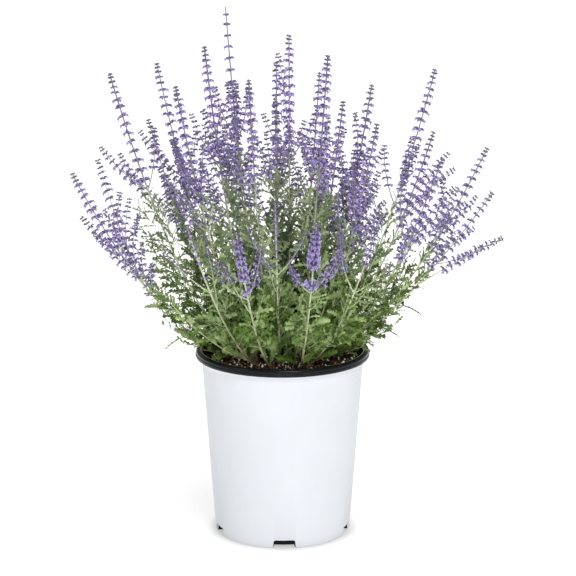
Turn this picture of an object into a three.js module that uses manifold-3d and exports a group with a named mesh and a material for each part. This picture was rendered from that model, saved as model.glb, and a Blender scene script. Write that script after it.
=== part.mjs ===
import * as THREE from 'three';
import { mergeVertices } from 'three/addons/utils/BufferGeometryUtils.js';
import Module from 'manifold-3d';

const wasm = await Module();
wasm.setup();

// Pot: radii and heights of its outline, millimetres
const potHeight = 232.6;
const rimRadius = 108;
const rimBand = 7.6;
const rimInner = 99.5;
const flareHeight = 8.6;
const wallTopRadius = 100;
const baseRadius = 84;
const wallThickness = 2;
const floorThickness = 2.6;
const potSides = 32;

// Drain notches round the foot of the pot
const notchCount = 5;
const notchWidth = 29;
const notchTopWidth = 26;
const notchHeight = 10;
const notchDepth = 14;
const notchTurn = THREE.MathUtils.degToRad(-88.3);

// Soil: its level, its lumps and the ring that it leaves free behind the notches
const soilLevel = 217;
const soilGap = 0.3;
const soilRings = [88, 66, 44, 22];
const soilLump = 1.1;
const soilChamferRadius = 66;
const soilChamferHeight = 15;
const holeDepth = 14;
const holeGap = 0.35;

// Stems: half width of the square section at the soil and at the tip, and how feet spread
const stemHalf = 1.6;
const tipHalf = 0.8;
const footRadius = 12;
const footSpread = 0.2;
const footRise = 3;
const buried = 12;
const longestStep = 60;
const seam = 0.3;

// Whorls of florets: four to a whorl on the stems' own spikes, three on the side spikes
const stemWhorl = { pitch: 15.5, reach: 8.4, tipReach: 3.2 };
const sideWhorl = { pitch: 13, reach: 6.8, tipReach: 3 };
const tipPitch = 9.5;
const bareTip = 5;
const shrinkingWhorls = 5;
const floretDroop = 0.21;
const spikeShare = 0.36;

// Side spikes: thinner stalks from pairs of faces below the stem's own spike
const sideHalf = 1.5;
const sideTipHalf = 1.04;
const sideBare = 0.38;
const sideReach = 56;
const sideReachSpread = 30;
const sideAngle = THREE.MathUtils.degToRad(40);
const sideNodeGap = 26;
const sideNodes = 2;
const sideFoot = 6;
const sideNodeHeight = 4.4;

// Leaves: opposite pairs, cut into lobes
const leafReach = 44;
const fullLeaf = 40;
const leafHalf = 6.6;
const leafRib = 1.5;
const leafNodeStart = 14;
const leafNodeGap = 46;
const leafNodeHeight = 4.6;
const leafNodes = 3;
const leafRise = THREE.MathUtils.degToRad(38);
const leafSag = 0.3;

// Room kept between neighbours, and how far out of a stem's middle its leaves and sides start
const room = 0.6;
const rootDepth = 1.2;

// One row for a stem: tip x, y, z, sag of its curve, turn of its foot in degrees
const stemRows = [
  [-208, -10, 577, 100, 0],
  [-155, 60, 580, 90, 0],
  [-126, -70, 570, 80, 0],
  [-93, -30, 612, 80, 0],
  [-69, 30, 652, 80, 0],
  [-40, -50, 575, 60, 0],
  [-8, 95, 577, 70, 0],
  [8, 10, 621, 40, 0],
  [54, -50, 604, 70, 0],
  [47, 150, 556, 80, 0],
  [75, 50, 534, 50, 0],
  [109, 20, 559, 70, 0],
  [112, -75, 526, 70, 0],
  [186, 20, 578, 90, 0],
  [191, 110, 486, 80, 0],
  [191, -60, 482, 80, 0],
  [254, 50, 476, 70, 0],
  [256, -10, 431, 36, 0],
  [-171, 130, 499, 80, 0],
  [-255, -20, 457, 74, 0],
  [39, -215, 435, 60, 12],
  [-52, -205, 422, 60, 0],
  [-8, -150, 445, 50, 0],
  [-110, -160, 420, 60, 0],
  [110, -160, 420, 60, 0],
  [-60, 215, 470, 70, 0],
  [60, 225, 490, 70, 0],
  [-10, 170, 520, 60, 0],
];

// Long side branches that have their own tip: stem, share of its length, tip x, y, z
const branchRows = [
  [19, 0.5, -227, 20, 467],
  [19, 0.44, -225, -75, 394],
  [17, 0.5, 265, -60, 385],
];

// Park and Miller's rule gives every random number here
let seed = 20117;
function draw() {
  seed = (seed * 16807) % 2147483647;
  return seed / 2147483647;
}

const add = (a, b) => [a[0] + b[0], a[1] + b[1], a[2] + b[2]];
const sub = (a, b) => [a[0] - b[0], a[1] - b[1], a[2] - b[2]];
const scale = (a, k) => [a[0] * k, a[1] * k, a[2] * k];
const move = (a, b, k) => add(a, scale(b, k));
const dot = (a, b) => a[0] * b[0] + a[1] * b[1] + a[2] * b[2];
const size = (a) => Math.sqrt(dot(a, a));
const unit = (a) => scale(a, 1 / size(a));
const cross = (a, b) => [a[1] * b[2] - a[2] * b[1], a[2] * b[0] - a[0] * b[2], a[0] * b[1] - a[1] * b[0]];
const mix = (a, b, k) => a + (b - a) * k;
const up = [0, 0, 1];

// A quadratic arc through its ends, walked by distance: at(s) gives the place and the direction there
function arc(start, bend, end) {
  const place = (t) => move(move(scale(start, (1 - t) ** 2), bend, 2 * t * (1 - t)), end, t * t);
  const slope = (t) => unit(move(scale(sub(bend, start), 1 - t), sub(end, bend), t));
  const steps = 48;
  const reached = [0];
  for (let k = 1; k <= steps; k += 1) {
    reached.push(reached[k - 1] + size(sub(place(k / steps), place((k - 1) / steps))));
  }
  const length = reached[steps];
  const at = (s) => {
    let k = 1;
    while (k < steps && reached[k] < s) k += 1;
    const t = (k - 1 + (s - reached[k - 1]) / (reached[k] - reached[k - 1])) / steps;
    return { p: place(t), d: slope(t) };
  };
  return { length, at };
}

// What has been placed, as balls: a new piece is tried against them before it is kept
const balls = [];

function hitsPot(x, y, z, r) {
  const far = Math.sqrt(x * x + y * y);
  if (far < rimInner - 3) return z - r < soilLevel + 1;
  if (far - r < rimRadius + 2) return z - r < potHeight + 1.5;
  return z - r < potHeight - 40;
}

function fits(tried, owner) {
  for (const a of tried) {
    if (a.free && hitsPot(a.p[0], a.p[1], a.p[2], a.r)) return false;
    for (const b of balls) {
      if (b.owner === owner && b.core && !a.strict) continue;
      const reach = a.r + b.r + room;
      const gap = sub(a.p, b.p);
      if (dot(gap, gap) < reach * reach) return false;
    }
  }
  return true;
}

// Whorls from the tip down to a distance: step and reach shrink over the last few to the tip
function whorlsAlong(length, from, kind) {
  const whorls = [];
  let top = length - bareTip;
  for (let k = 0; top > from; k += 1) {
    const share = Math.min(1, k / shrinkingWhorls);
    const low = top - mix(tipPitch, kind.pitch, share);
    if (low < from) break;
    const reach = mix(kind.tipReach, kind.reach, share);
    whorls.unshift({ low, high: top, middle: (low + top) / 2, reach });
    top = low;
  }
  return whorls;
}

function stemBalls(curve, whorls, owner) {
  const list = [];
  for (let s = 0; s < curve.length; s += 3) {
    list.push({ p: curve.at(s).p, r: 2.4, owner, core: true });
  }
  for (const whorl of whorls) {
    list.push({ p: curve.at(whorl.middle).p, r: whorl.reach, owner });
  }
  return list;
}

// The stem of a row: its foot stands on the ray of its tip, and its bend hangs below the straight line
function plantStem(row, owner) {
  const [tipX, tipY, tipZ, sag, turn] = row;
  for (let tries = 0; tries < 40; tries += 1) {
    const swing = Math.ceil(tries / 2) * (tries % 2 ? 1 : -1);
    const angle = Math.atan2(tipY, tipX) + ((turn + swing * 3) * Math.PI) / 180;
    const spread = footRadius + footSpread * Math.sqrt(tipX * tipX + tipY * tipY);
    const foot = [spread * Math.cos(angle), spread * Math.sin(angle), soilLevel + footRise];
    const tip = [tipX, tipY + swing * 1.5, tipZ];
    const bend = move(scale(add(foot, tip), 0.5), up, -sag);
    const curve = arc(foot, bend, tip);
    const whorls = whorlsAlong(curve.length, curve.length * (1 - spikeShare), stemWhorl);
    const tried = stemBalls(curve, whorls, owner);
    if (fits(tried, owner)) {
      balls.push(...tried);
      const side = cross(up, unit([tip[0] - foot[0], tip[1] - foot[1], 0]));
      return { owner, curve, whorls, foot, side, turn: draw() * Math.PI, sides: [], leaves: [] };
    }
  }
  return null;
}

const ray = (right, ahead, angle) => move(scale(right, Math.cos(angle)), ahead, Math.sin(angle));

// A stem's section at a place: corner k lies at turn + 45 degrees + k quarter turns about d
function sectionCorners(stem, p, d, half) {
  const ahead = cross(d, stem.side);
  const corner = (k) => ray(stem.side, ahead, stem.turn + ((k + 0.5) * Math.PI) / 2);
  return [0, 1, 2, 3].map((k) => move(p, corner(k), half * Math.SQRT2));
}

// Directions at distance s of a stem: face i looks along out, and right is its right-hand side
function faceAt(stem, s, i) {
  const { p, d } = stem.curve.at(s);
  const ahead = cross(d, stem.side);
  const out = ray(stem.side, ahead, stem.turn + ((i + 1) * Math.PI) / 2);
  const right = ray(stem.side, ahead, stem.turn + ((i + 2) * Math.PI) / 2);
  return { p, d, out, right };
}

function sideBalls(curve, whorls, owner) {
  const list = [];
  for (let s = 8; s < curve.length; s += 4) {
    list.push({ p: curve.at(s).p, r: 1.4, owner, free: true });
  }
  for (const whorl of whorls) {
    list.push({ p: curve.at(whorl.middle).p, r: whorl.reach, owner, strict: true, free: true });
  }
  return list;
}

function addSide(stem, s, i, bendTo, endAt) {
  const face = faceAt(stem, s, i);
  const start = move(face.p, face.out, rootDepth);
  const curve = arc(start, bendTo(face, start), endAt(face, start));
  const whorls = whorlsAlong(curve.length, curve.length * sideBare, sideWhorl);
  const tried = sideBalls(curve, whorls, stem.owner);
  if (whorls.length === 0 || !fits(tried, stem.owner)) return false;
  balls.push(...tried);
  stem.sides.push({ s, i, curve, whorls, right: face.right });
  return true;
}

// Pairs of side spikes below the terminal spike, each tried shorter and turned before it is left out
function growSides(stem) {
  const first = stem.curve.length * (1 - spikeShare) - 8;
  for (let j = 0; j < sideNodes; j += 1) {
    const s = first - j * sideNodeGap;
    for (const i of j === 0 ? [0, 2] : [1 + 2 * (stem.owner % 2)]) {
      const reach = sideReach + sideReachSpread * draw();
      for (let tries = 0; tries < 6; tries += 1) {
        const angle = sideAngle + 0.09 * (tries % 3);
        const long = reach * (1 - 0.12 * tries);
        const bend = (face, start) => move(start, ray(face.d, face.out, angle), long * 0.5);
        const end = (face, start) => move(start, ray(face.d, face.out, angle * 0.7), long);
        if (addSide(stem, s, i, bend, end)) break;
      }
    }
  }
}

function growBranch(row, stems) {
  const stem = stems[row[0]];
  const s = stem.curve.length * row[1];
  const end = row.slice(2);
  const aim = sub(end, stem.curve.at(s).p);
  let best = 0;
  for (let i = 1; i < 4; i += 1) {
    if (dot(faceAt(stem, s, i).out, aim) > dot(faceAt(stem, s, best).out, aim)) best = i;
  }
  const bend = (face, start) => move(scale(add(start, end), 0.5), face.d, size(aim) * 0.08);
  return addSide(stem, s, best, bend, () => end);
}

function leafBalls(curve, half, owner) {
  return [0.2, 0.36, 0.52, 0.68, 0.84, 0.98].map((share) => {
    const r = half * (share < 0.3 || share > 0.9 ? 0.4 : 1);
    return { p: curve.at(curve.length * share).p, r, owner, free: true };
  });
}

// A leaf rises from face i and sags to its tip: it is tried steeper and shorter before it is left out
function addLeaf(stem, s, i, reach) {
  const face = faceAt(stem, s, i);
  const start = move(face.p, face.out, rootDepth);
  for (let tries = 0; tries < 5; tries += 1) {
    const lead = ray(face.out, face.d, leafRise + 0.16 * (tries % 3));
    const long = reach * (1 - 0.09 * tries);
    const end = move(move(start, lead, long * 0.94), up, -long * leafSag);
    const curve = arc(start, move(start, lead, long * 0.5), end);
    const half = leafHalf * Math.min(1, long / fullLeaf);
    const tried = leafBalls(curve, half, stem.owner);
    if (fits(tried, stem.owner)) {
      balls.push(...tried);
      stem.leaves.push({ s, i, curve, half, long, right: face.right });
      return;
    }
  }
}

// Pairs of leaves up the green part, the lowest the largest
function growLeaves(stem) {
  for (let j = 0; j < leafNodes; j += 1) {
    const s = leafNodeStart + j * leafNodeGap;
    if (s > stem.cut - leafNodeHeight) break;
    const reach = leafReach * mix(1, 0.62, s / 190);
    addLeaf(stem, s, j % 2, reach * (0.9 + 0.2 * draw()));
    addLeaf(stem, s, (j % 2) + 2, reach * (0.9 + 0.2 * draw()));
  }
}

// A closed skin built up ring by ring
class Skin {
  constructor() {
    this.points = [];
    this.faces = [];
  }

  point(p) {
    this.points.push(p);
    return this.points.length - 1;
  }

  ring(list) {
    return list.map((p) => this.point(p));
  }

  face(a, b, c) {
    this.faces.push([a, b, c]);
  }

  // Joins two rings of any number of corners that run the same way round
  stitch(low, high) {
    let i = 0;
    let j = 0;
    while (i < low.length || j < high.length) {
      const a = low[i % low.length];
      const b = high[j % high.length];
      if ((i + 1) / low.length <= (j + 1) / high.length) {
        this.face(a, low[(i + 1) % low.length], b);
        i += 1;
      } else {
        this.face(a, high[(j + 1) % high.length], b);
        j += 1;
      }
    }
  }

  fan(ring, apex) {
    ring.forEach((a, k) => this.face(a, ring[(k + 1) % ring.length], apex));
  }

  geometry() {
    const shape = new THREE.BufferGeometry();
    shape.setAttribute('position', new THREE.Float32BufferAttribute(this.points.flat(), 3));
    shape.setIndex(this.faces.flat());
    shape.computeVertexNormals();
    return shape;
  }
}

// The floret on one side of a whorl: the wall between two rings, drawn out to a drooping point
function floret(skin, low, high, k, centre, out, reach) {
  const next = (k + 1) % low.length;
  const tip = move(move(centre, out, reach), up, -floretDroop * reach);
  skin.fan([low[k], low[next], high[next], high[k]], skin.point(tip));
}

// Leaf rings: share of the length, share of the half width and forward sweep of the two edges
const largeLeaf = [
  [0.12, 0.2, 0],
  [0.32, 0.8, 0.05],
  [0.41, 0.32, 0],
  [0.58, 1, 0.06],
  [0.68, 0.3, 0],
  [0.8, 0.6, 0.03],
];
const smallLeaf = [
  [0.14, 0.2, 0],
  [0.42, 1, 0.07],
  [0.55, 0.3, 0],
  [0.72, 0.7, 0.04],
];

// A leaf's section is a flat triangle: right edge, left edge and the rib under them
function sproutLeaf(skin, base, leaf) {
  const outline = leaf.long > fullLeaf ? largeLeaf : smallLeaf;
  let ring = base;
  for (const [share, width, sweep] of outline) {
    const { p, d } = leaf.curve.at(leaf.curve.length * share);
    const right = unit(move(leaf.right, d, -dot(leaf.right, d)));
    const half = Math.max(1, leaf.half * width);
    const edge = move(p, d, sweep * leaf.long);
    const rib = move(p, cross(d, right), -leafRib * mix(1, 0.7, share));
    const next = skin.ring([move(edge, right, half), move(edge, right, -half), rib]);
    skin.stitch(ring, next);
    ring = next;
  }
  skin.fan(ring, skin.point(leaf.curve.at(leaf.curve.length).p));
}

// A side spike has three corners: bare up to its first whorl, then whorl on whorl to the tip
function sproutSide(skin, base, side) {
  const third = (2 * Math.PI) / 3;
  const rayAt = (s, k) => {
    const { d } = side.curve.at(s);
    const right = unit(move(side.right, d, -dot(side.right, d)));
    return ray(right, cross(d, right), Math.PI / 4 + k * third);
  };
  const ringAt = (s) => {
    const half = mix(sideHalf, sideTipHalf, s / side.curve.length);
    return skin.ring([0, 1, 2].map((k) => move(side.curve.at(s).p, rayAt(s, k), half)));
  };
  let ring = ringAt(sideFoot);
  skin.stitch(base, ring);
  const bare = ringAt(side.whorls[0].low);
  skin.stitch(ring, bare);
  ring = bare;
  for (const whorl of side.whorls) {
    const above = ringAt(whorl.high);
    const centre = side.curve.at(whorl.middle).p;
    for (let k = 0; k < 3; k += 1) {
      floret(skin, ring, above, k, centre, rayAt(whorl.middle, k + 0.5), whorl.reach);
    }
    ring = above;
  }
  skin.fan(ring, skin.point(side.curve.at(side.curve.length).p));
}

// The short stretches of a stem that carry whorls, leaves or side spikes, in order from its foot
function bandsOf(stem, from, to) {
  const bands = stem.whorls.map((whorl) => ({ low: whorl.low, high: whorl.high, whorl, grown: [] }));
  const carry = (thing, height, sprout) => {
    const low = thing.s - height / 2;
    let band = bands.find((other) => Math.abs(other.low - low) < 0.01);
    if (!band) {
      band = { low, high: thing.s + height / 2, grown: [] };
      bands.push(band);
    }
    band.grown.push({ i: thing.i, thing, sprout });
  };
  stem.leaves.forEach((leaf) => carry(leaf, leafNodeHeight, sproutLeaf));
  stem.sides.forEach((side) => carry(side, sideNodeHeight, sproutSide));
  const within = bands.filter((band) => band.low >= from && band.high <= to);
  return within.sort((one, other) => one.low - other.low);
}

// One band: each face between its two rings is a floret, the root of a leaf or side, or plain wall
function closeBand(skin, stem, band, ring, next) {
  for (let i = 0; i < 4; i += 1) {
    const after = (i + 1) % 4;
    const found = band.grown.find((one) => one.i === i);
    if (band.whorl) {
      const { p, out } = faceAt(stem, band.whorl.middle, i);
      floret(skin, ring, next, i, p, out, band.whorl.reach);
    } else if (found) {
      found.sprout(skin, [next[after], next[i], ring[i], ring[after]], found.thing);
    } else {
      skin.face(ring[i], ring[after], next[after]);
      skin.face(ring[i], next[after], next[i]);
    }
  }
}

// The part of a stem between two distances, from its buried foot if it starts at the soil
function growStretch(stem, from, to) {
  const skin = new Skin();
  const tall = stem.curve.length;
  const ringAt = (s) => {
    const { p, d } = stem.curve.at(s);
    return skin.ring(sectionCorners(stem, p, d, mix(stemHalf, tipHalf, s / tall)));
  };
  const footRing = (sunk) => skin.ring(sectionCorners(stem, move(stem.foot, up, -sunk), up, stemHalf));
  let ring = from === 0 ? footRing(buried) : ringAt(from);
  let reached = from;
  const join = (next) => {
    skin.stitch(ring, next);
    ring = next;
  };
  const climb = (target) => {
    const parts = Math.ceil((target - reached) / longestStep - 0.001);
    for (let k = 1; k <= parts; k += 1) join(ringAt(mix(reached, target, k / parts)));
    reached = target;
  };
  skin.face(ring[0], ring[2], ring[1]);
  skin.face(ring[0], ring[3], ring[2]);
  if (from === 0) join(footRing(0));
  for (const band of bandsOf(stem, from, to)) {
    climb(band.low);
    const next = ringAt(band.high);
    closeBand(skin, stem, band, ring, next);
    ring = next;
    reached = band.high;
  }
  if (to < tall) {
    climb(to);
    skin.face(ring[0], ring[1], ring[2]);
    skin.face(ring[0], ring[2], ring[3]);
  } else {
    skin.fan(ring, skin.point(stem.curve.at(tall).p));
  }
  return skin.geometry();
}

// Turning solids from the lathe's upright axis to the pot's
function turned(profile, sides) {
  const shape = new THREE.LatheGeometry(profile.map(([r, z]) => new THREE.Vector2(r, z)), sides);
  shape.rotateX(Math.PI / 2);
  return shape;
}

function toSolid(shape) {
  const bare = shape.clone();
  bare.deleteAttribute('normal');
  bare.deleteAttribute('uv');
  const merged = mergeVertices(bare, 1e-4);
  const triVerts = new Uint32Array(merged.index.array);
  const vertProperties = new Float32Array(merged.attributes.position.array);
  return new wasm.Manifold(new wasm.Mesh({ numProp: 3, vertProperties, triVerts }));
}

function fromSolid(solid) {
  const { vertProperties, triVerts } = solid.getMesh();
  const shape = new THREE.BufferGeometry();
  shape.setAttribute('position', new THREE.Float32BufferAttribute(Array.from(vertProperties), 3));
  shape.setIndex(Array.from(triVerts));
  shape.computeVertexNormals();
  return shape;
}

const wallHeight = potHeight - rimBand - flareHeight;
const innerRadius = (z) => mix(baseRadius, wallTopRadius, z / wallHeight) - wallThickness;

function makePot() {
  const bandFoot = potHeight - rimBand;
  const profile = [
    [0, 0],
    [baseRadius - 1.4, 0],
    [baseRadius, 1.4],
    [wallTopRadius, wallHeight],
    [wallTopRadius + 1.8, wallHeight + 3.4],
    [rimRadius - 0.4, bandFoot - 0.8],
    [rimRadius, bandFoot],
    [rimRadius, potHeight - 1.2],
    [rimRadius - 1.2, potHeight],
    [rimInner + 1, potHeight],
    [rimInner, potHeight - 1],
    [innerRadius(wallHeight), wallHeight],
    [innerRadius(floorThickness), floorThickness],
    [0, floorThickness],
  ];
  let pot = toSolid(turned(profile, potSides));
  const outline = new THREE.Shape([
    new THREE.Vector2(-notchWidth / 2, -2),
    new THREE.Vector2(notchWidth / 2, -2),
    new THREE.Vector2(notchWidth / 2, 0),
    new THREE.Vector2(notchTopWidth / 2, notchHeight),
    new THREE.Vector2(-notchTopWidth / 2, notchHeight),
    new THREE.Vector2(-notchWidth / 2, 0),
  ]);
  for (let k = 0; k < notchCount; k += 1) {
    const notch = new THREE.ExtrudeGeometry(outline, { depth: notchDepth + 8, bevelEnabled: false });
    notch.rotateX(Math.PI / 2);
    notch.rotateZ(Math.PI);
    notch.translate(0, baseRadius - notchDepth, 0);
    notch.rotateZ(notchTurn - Math.PI / 2 + (k * 2 * Math.PI) / notchCount);
    pot = pot.subtract(toSolid(notch));
  }
  return fromSolid(pot);
}

function makeSoil(stems) {
  const edge = soilLevel - 5;
  const profile = [
    [0, floorThickness + soilGap],
    [soilChamferRadius, floorThickness + soilGap],
    [innerRadius(soilChamferHeight) - soilGap, soilChamferHeight],
    [innerRadius(edge) - soilGap, edge],
    ...soilRings.map((r) => [r, soilLevel - 2]),
    [0, soilLevel - 2],
  ];
  const shape = turned(profile, potSides);
  const place = shape.attributes.position;
  for (let k = 0; k < place.count; k += 1) {
    if (place.getZ(k) < soilLevel - 3) continue;
    const x = place.getX(k);
    const y = place.getY(k);
    place.setZ(k, place.getZ(k) + soilLump * Math.sin(0.13 * x + 0.7) * Math.cos(0.11 * y - 0.4));
  }
  let soil = toSolid(shape);
  const span = (stemHalf + holeGap) * 2;
  for (const stem of stems) {
    const hole = new THREE.BoxGeometry(span, span, holeDepth * 2);
    hole.rotateZ(Math.atan2(stem.side[1], stem.side[0]) + stem.turn);
    hole.translate(stem.foot[0], stem.foot[1], soilLevel + footRise - buried - 0.5 + holeDepth);
    soil = soil.subtract(toSolid(hole));
  }
  return fromSolid(soil);
}

function addPiece(group, name, shape, color, roughness) {
  const finish = new THREE.MeshStandardMaterial({ color, roughness, metalness: 0 });
  const piece = new THREE.Mesh(shape, finish);
  piece.name = name;
  group.add(piece);
}

const stems = stemRows.map((row, k) => plantStem(row, k)).filter((stem) => stem !== null);
branchRows.forEach((row) => growBranch(row, stems));
stems.forEach((stem) => growSides(stem));
for (const stem of stems) {
  const lowest = Math.min(stem.whorls[0].low, ...stem.sides.map((side) => side.s));
  stem.cut = lowest - 10;
}
stems.forEach((stem) => growLeaves(stem));

const plant = new THREE.Group();
addPiece(plant, 'pot', makePot(), 0xe9ecf2, 0.35);
addPiece(plant, 'soil', makeSoil(stems), 0x2e2018, 0.95);
stems.forEach((stem, k) => {
  const number = String(k + 1).padStart(2, '0');
  const leafy = growStretch(stem, 0, stem.cut - seam / 2);
  const flowering = growStretch(stem, stem.cut + seam / 2, stem.curve.length);
  addPiece(plant, `stem_${number}`, leafy, 0x7d9a63, 0.7);
  addPiece(plant, `spike_${number}`, flowering, 0x7563b4, 0.7);
});

export default plant;
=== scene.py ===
import bpy
import math
import numpy as np
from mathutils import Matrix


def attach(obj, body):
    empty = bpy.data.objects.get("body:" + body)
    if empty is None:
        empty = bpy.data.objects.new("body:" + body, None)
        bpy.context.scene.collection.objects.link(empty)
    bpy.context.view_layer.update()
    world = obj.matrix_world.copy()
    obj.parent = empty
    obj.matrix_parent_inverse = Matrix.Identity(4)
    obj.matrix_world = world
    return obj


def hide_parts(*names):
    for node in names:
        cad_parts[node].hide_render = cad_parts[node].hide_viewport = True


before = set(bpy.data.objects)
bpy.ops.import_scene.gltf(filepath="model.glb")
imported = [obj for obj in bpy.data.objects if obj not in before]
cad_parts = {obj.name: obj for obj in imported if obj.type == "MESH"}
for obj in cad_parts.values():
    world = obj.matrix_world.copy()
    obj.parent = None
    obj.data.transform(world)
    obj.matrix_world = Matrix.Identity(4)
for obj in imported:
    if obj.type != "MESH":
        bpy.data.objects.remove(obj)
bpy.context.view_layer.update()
upward = np.array([0.0, 0.0, 1.0])


# Camera, floor and lights

white = (1.0, 1.0, 1.0, 1.0)
roomLook = {
    "pitchDeg": 13.3,              # the photo looks down on the rim by this much
    "distance": 2.85,              # metres from the aim
    "aim": (0.0068, 0.0, 0.309),
    "focalPixels": 2311.0,         # in a frame 576 pixels wide
    "frameWidth": 576.0,
    "sensorWidth": 36.0,
    "farClip": 50.0,
    "floorSize": 18.0,
    "floorDrop": 0.0004,           # the paper lies this far under the pot
    "floorColour": (0.34, 0.34, 0.345, 1.0),
    "floorRoughness": 0.9,
    "floorSpecular": 0.1,
    # the paper glows as painted light that no lamp gives, so that shadows on it stay faint: glow beside the
    # pot, lower there as painted shade, and far from it
    "floorGlow": [(0.1, 0.74), (0.5, 1.0)],
    # a painted contact shadow round the pot's foot
    "paintedContactShadow": [(0.08, 0.6), (0.1, 1.0)],    # share of it left right beside the foot, and further out
    "levelLight": 0.42,            # the room as seen level and below
    "skyLight": 0.3,               # and what falls from above
    "skyFrom": 0.05,               # height of a unit direction where the one starts to turn into the other
    "skyTo": 0.4,
    "lampAim": (0.0, 0.0, 0.3),    # the middle of the plant
    # name, place, size, watts
    "lamps": [
        ("keySoftbox", (0.6, -2.25, 2.1), 1.1, 54.0),
        ("sideSoftbox", (-2.2, -1.2, 1.9), 1.1, 12.0),
        ("topSoftbox", (0.3, -0.3, 2.7), 1.4, 26.0),
    ],
}


def intoScene(name, data):
    # an object for a mesh, a lamp or a camera, at the origin until it is placed
    thing = bpy.data.objects.new(name, data)
    bpy.context.scene.collection.objects.link(thing)
    return thing


def newNode(tree, kind, values, sources, **settings):
    # a shader node with its settings, its even values and the sockets that feed it
    node = tree.nodes.new(kind)
    for key, value in settings.items():
        setattr(node, key, value)
    for key, value in values.items():
        node.inputs[key].default_value = value
    for key, socket in sources.items():
        tree.links.new(socket, node.inputs[key])
    return node


def carried(tree, value, fromLow, fromHigh, toLow=0.0, toHigh=1.0, how="LINEAR"):
    # a value carried evenly, or in a smooth step, from one range to another and no further than its ends
    ends = {"From Min": fromLow, "From Max": fromHigh, "To Min": toLow, "To Max": toHigh}
    node = newNode(tree, "ShaderNodeMapRange", ends, {"Value": value}, interpolation_type=how)
    return node.outputs["Result"]


def placeCamera():
    # the camera stands back from the aim on a line that climbs by the pitch
    pitch = math.radians(roomLook["pitchDeg"])
    back = np.array([0.0, -math.cos(pitch), math.sin(pitch)])
    lens = bpy.data.cameras.new("camera")
    lens.sensor_width = roomLook["sensorWidth"]
    lens.lens = roomLook["focalPixels"] / roomLook["frameWidth"] * roomLook["sensorWidth"]
    lens.clip_end = roomLook["farClip"]
    camera = intoScene("camera", lens)
    camera.location = np.array(roomLook["aim"]) + back * roomLook["distance"]
    camera.rotation_euler = (math.pi / 2 - pitch, 0.0, 0.0)
    bpy.context.scene.camera = camera


def hangLamp(name, place, size, power):
    # a square area lamp, tipped and turned to face the middle of the plant
    data = bpy.data.lights.new(name, "AREA")
    data.size = size
    data.energy = power
    lamp = intoScene(name, data)
    lamp.location = place
    towards = np.array(roomLook["lampAim"]) - np.array(place)
    flat = math.hypot(towards[0], towards[1])
    heading = math.atan2(towards[1], towards[0]) - math.pi / 2
    lamp.rotation_euler = (math.atan2(flat, -towards[2]), 0.0, heading)


def paperFinish():
    # white paper glowing as painted light: its glow is the product of two smooth steps over the distance from
    # the pot's middle, the second a painted contact shadow round the foot
    paper = bpy.data.materials.new("floorPaper")
    paper.use_nodes = True
    tree = paper.node_tree
    shader = tree.nodes["Principled BSDF"]
    shader.inputs["Base Color"].default_value = roomLook["floorColour"]
    shader.inputs["Roughness"].default_value = roomLook["floorRoughness"]
    shader.inputs["Specular IOR Level"].default_value = roomLook["floorSpecular"]
    shader.inputs["Emission Color"].default_value = white
    where = tree.nodes.new("ShaderNodeTexCoord").outputs["Object"]
    apart = newNode(tree, "ShaderNodeVectorMath", {}, {0: where}, operation="LENGTH").outputs["Value"]
    steps = {}
    for port, key in enumerate(("floorGlow", "paintedContactShadow")):
        (near, nearGlow), (far, farGlow) = roomLook[key]
        steps[port] = carried(tree, apart, near, far, nearGlow, farGlow, "SMOOTHSTEP")
    product = newNode(tree, "ShaderNodeMath", {}, steps, operation="MULTIPLY")
    tree.links.new(product.outputs["Value"], shader.inputs["Emission Strength"])
    return paper


def makeFloor():
    # one square sheet under the pot
    half = roomLook["floorSize"] / 2
    drop = -roomLook["floorDrop"]
    corners = [(-half, -half, drop), (half, -half, drop), (half, half, drop), (-half, half, drop)]
    mesh = bpy.data.meshes.new("studioFloor")
    mesh.from_pydata(corners, [], [(0, 1, 2, 3)])
    mesh.materials.append(paperFinish())
    intoScene("studioFloor", mesh)


def makeSky():
    # an even white room, whose strength goes from the level light to the sky's with the direction's height
    world = bpy.data.worlds.new("studio")
    world.use_nodes = True
    tree = world.node_tree
    direction = tree.nodes.new("ShaderNodeTexCoord").outputs["Generated"]
    parts = newNode(tree, "ShaderNodeSeparateXYZ", {}, {"Vector": direction})
    strength = carried(tree, parts.outputs["Z"], roomLook["skyFrom"], roomLook["skyTo"],
                       roomLook["levelLight"], roomLook["skyLight"])
    background = tree.nodes["Background"]
    background.inputs["Color"].default_value = white
    tree.links.new(strength, background.inputs["Strength"])
    bpy.context.scene.world = world


placeCamera()
makeFloor()
makeSky()
for lamp in roomLook["lamps"]:
    hangLamp(*lamp)
bpy.context.scene.view_settings.view_transform = "Standard"
print("room ready")


# Finishes: procedural colour and bump on the object's own coordinates

def linear(r, g, b):
    # a colour read as 0..255 turned into the shader's linear 0..1
    shares = [v / 255 for v in (r, g, b)]
    return tuple(v / 12.92 if v <= 0.04045 else ((v + 0.055) / 1.055) ** 2.4 for v in shares)


def grey(v):
    # an even grey, already linear
    return (v, v, v)


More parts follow.
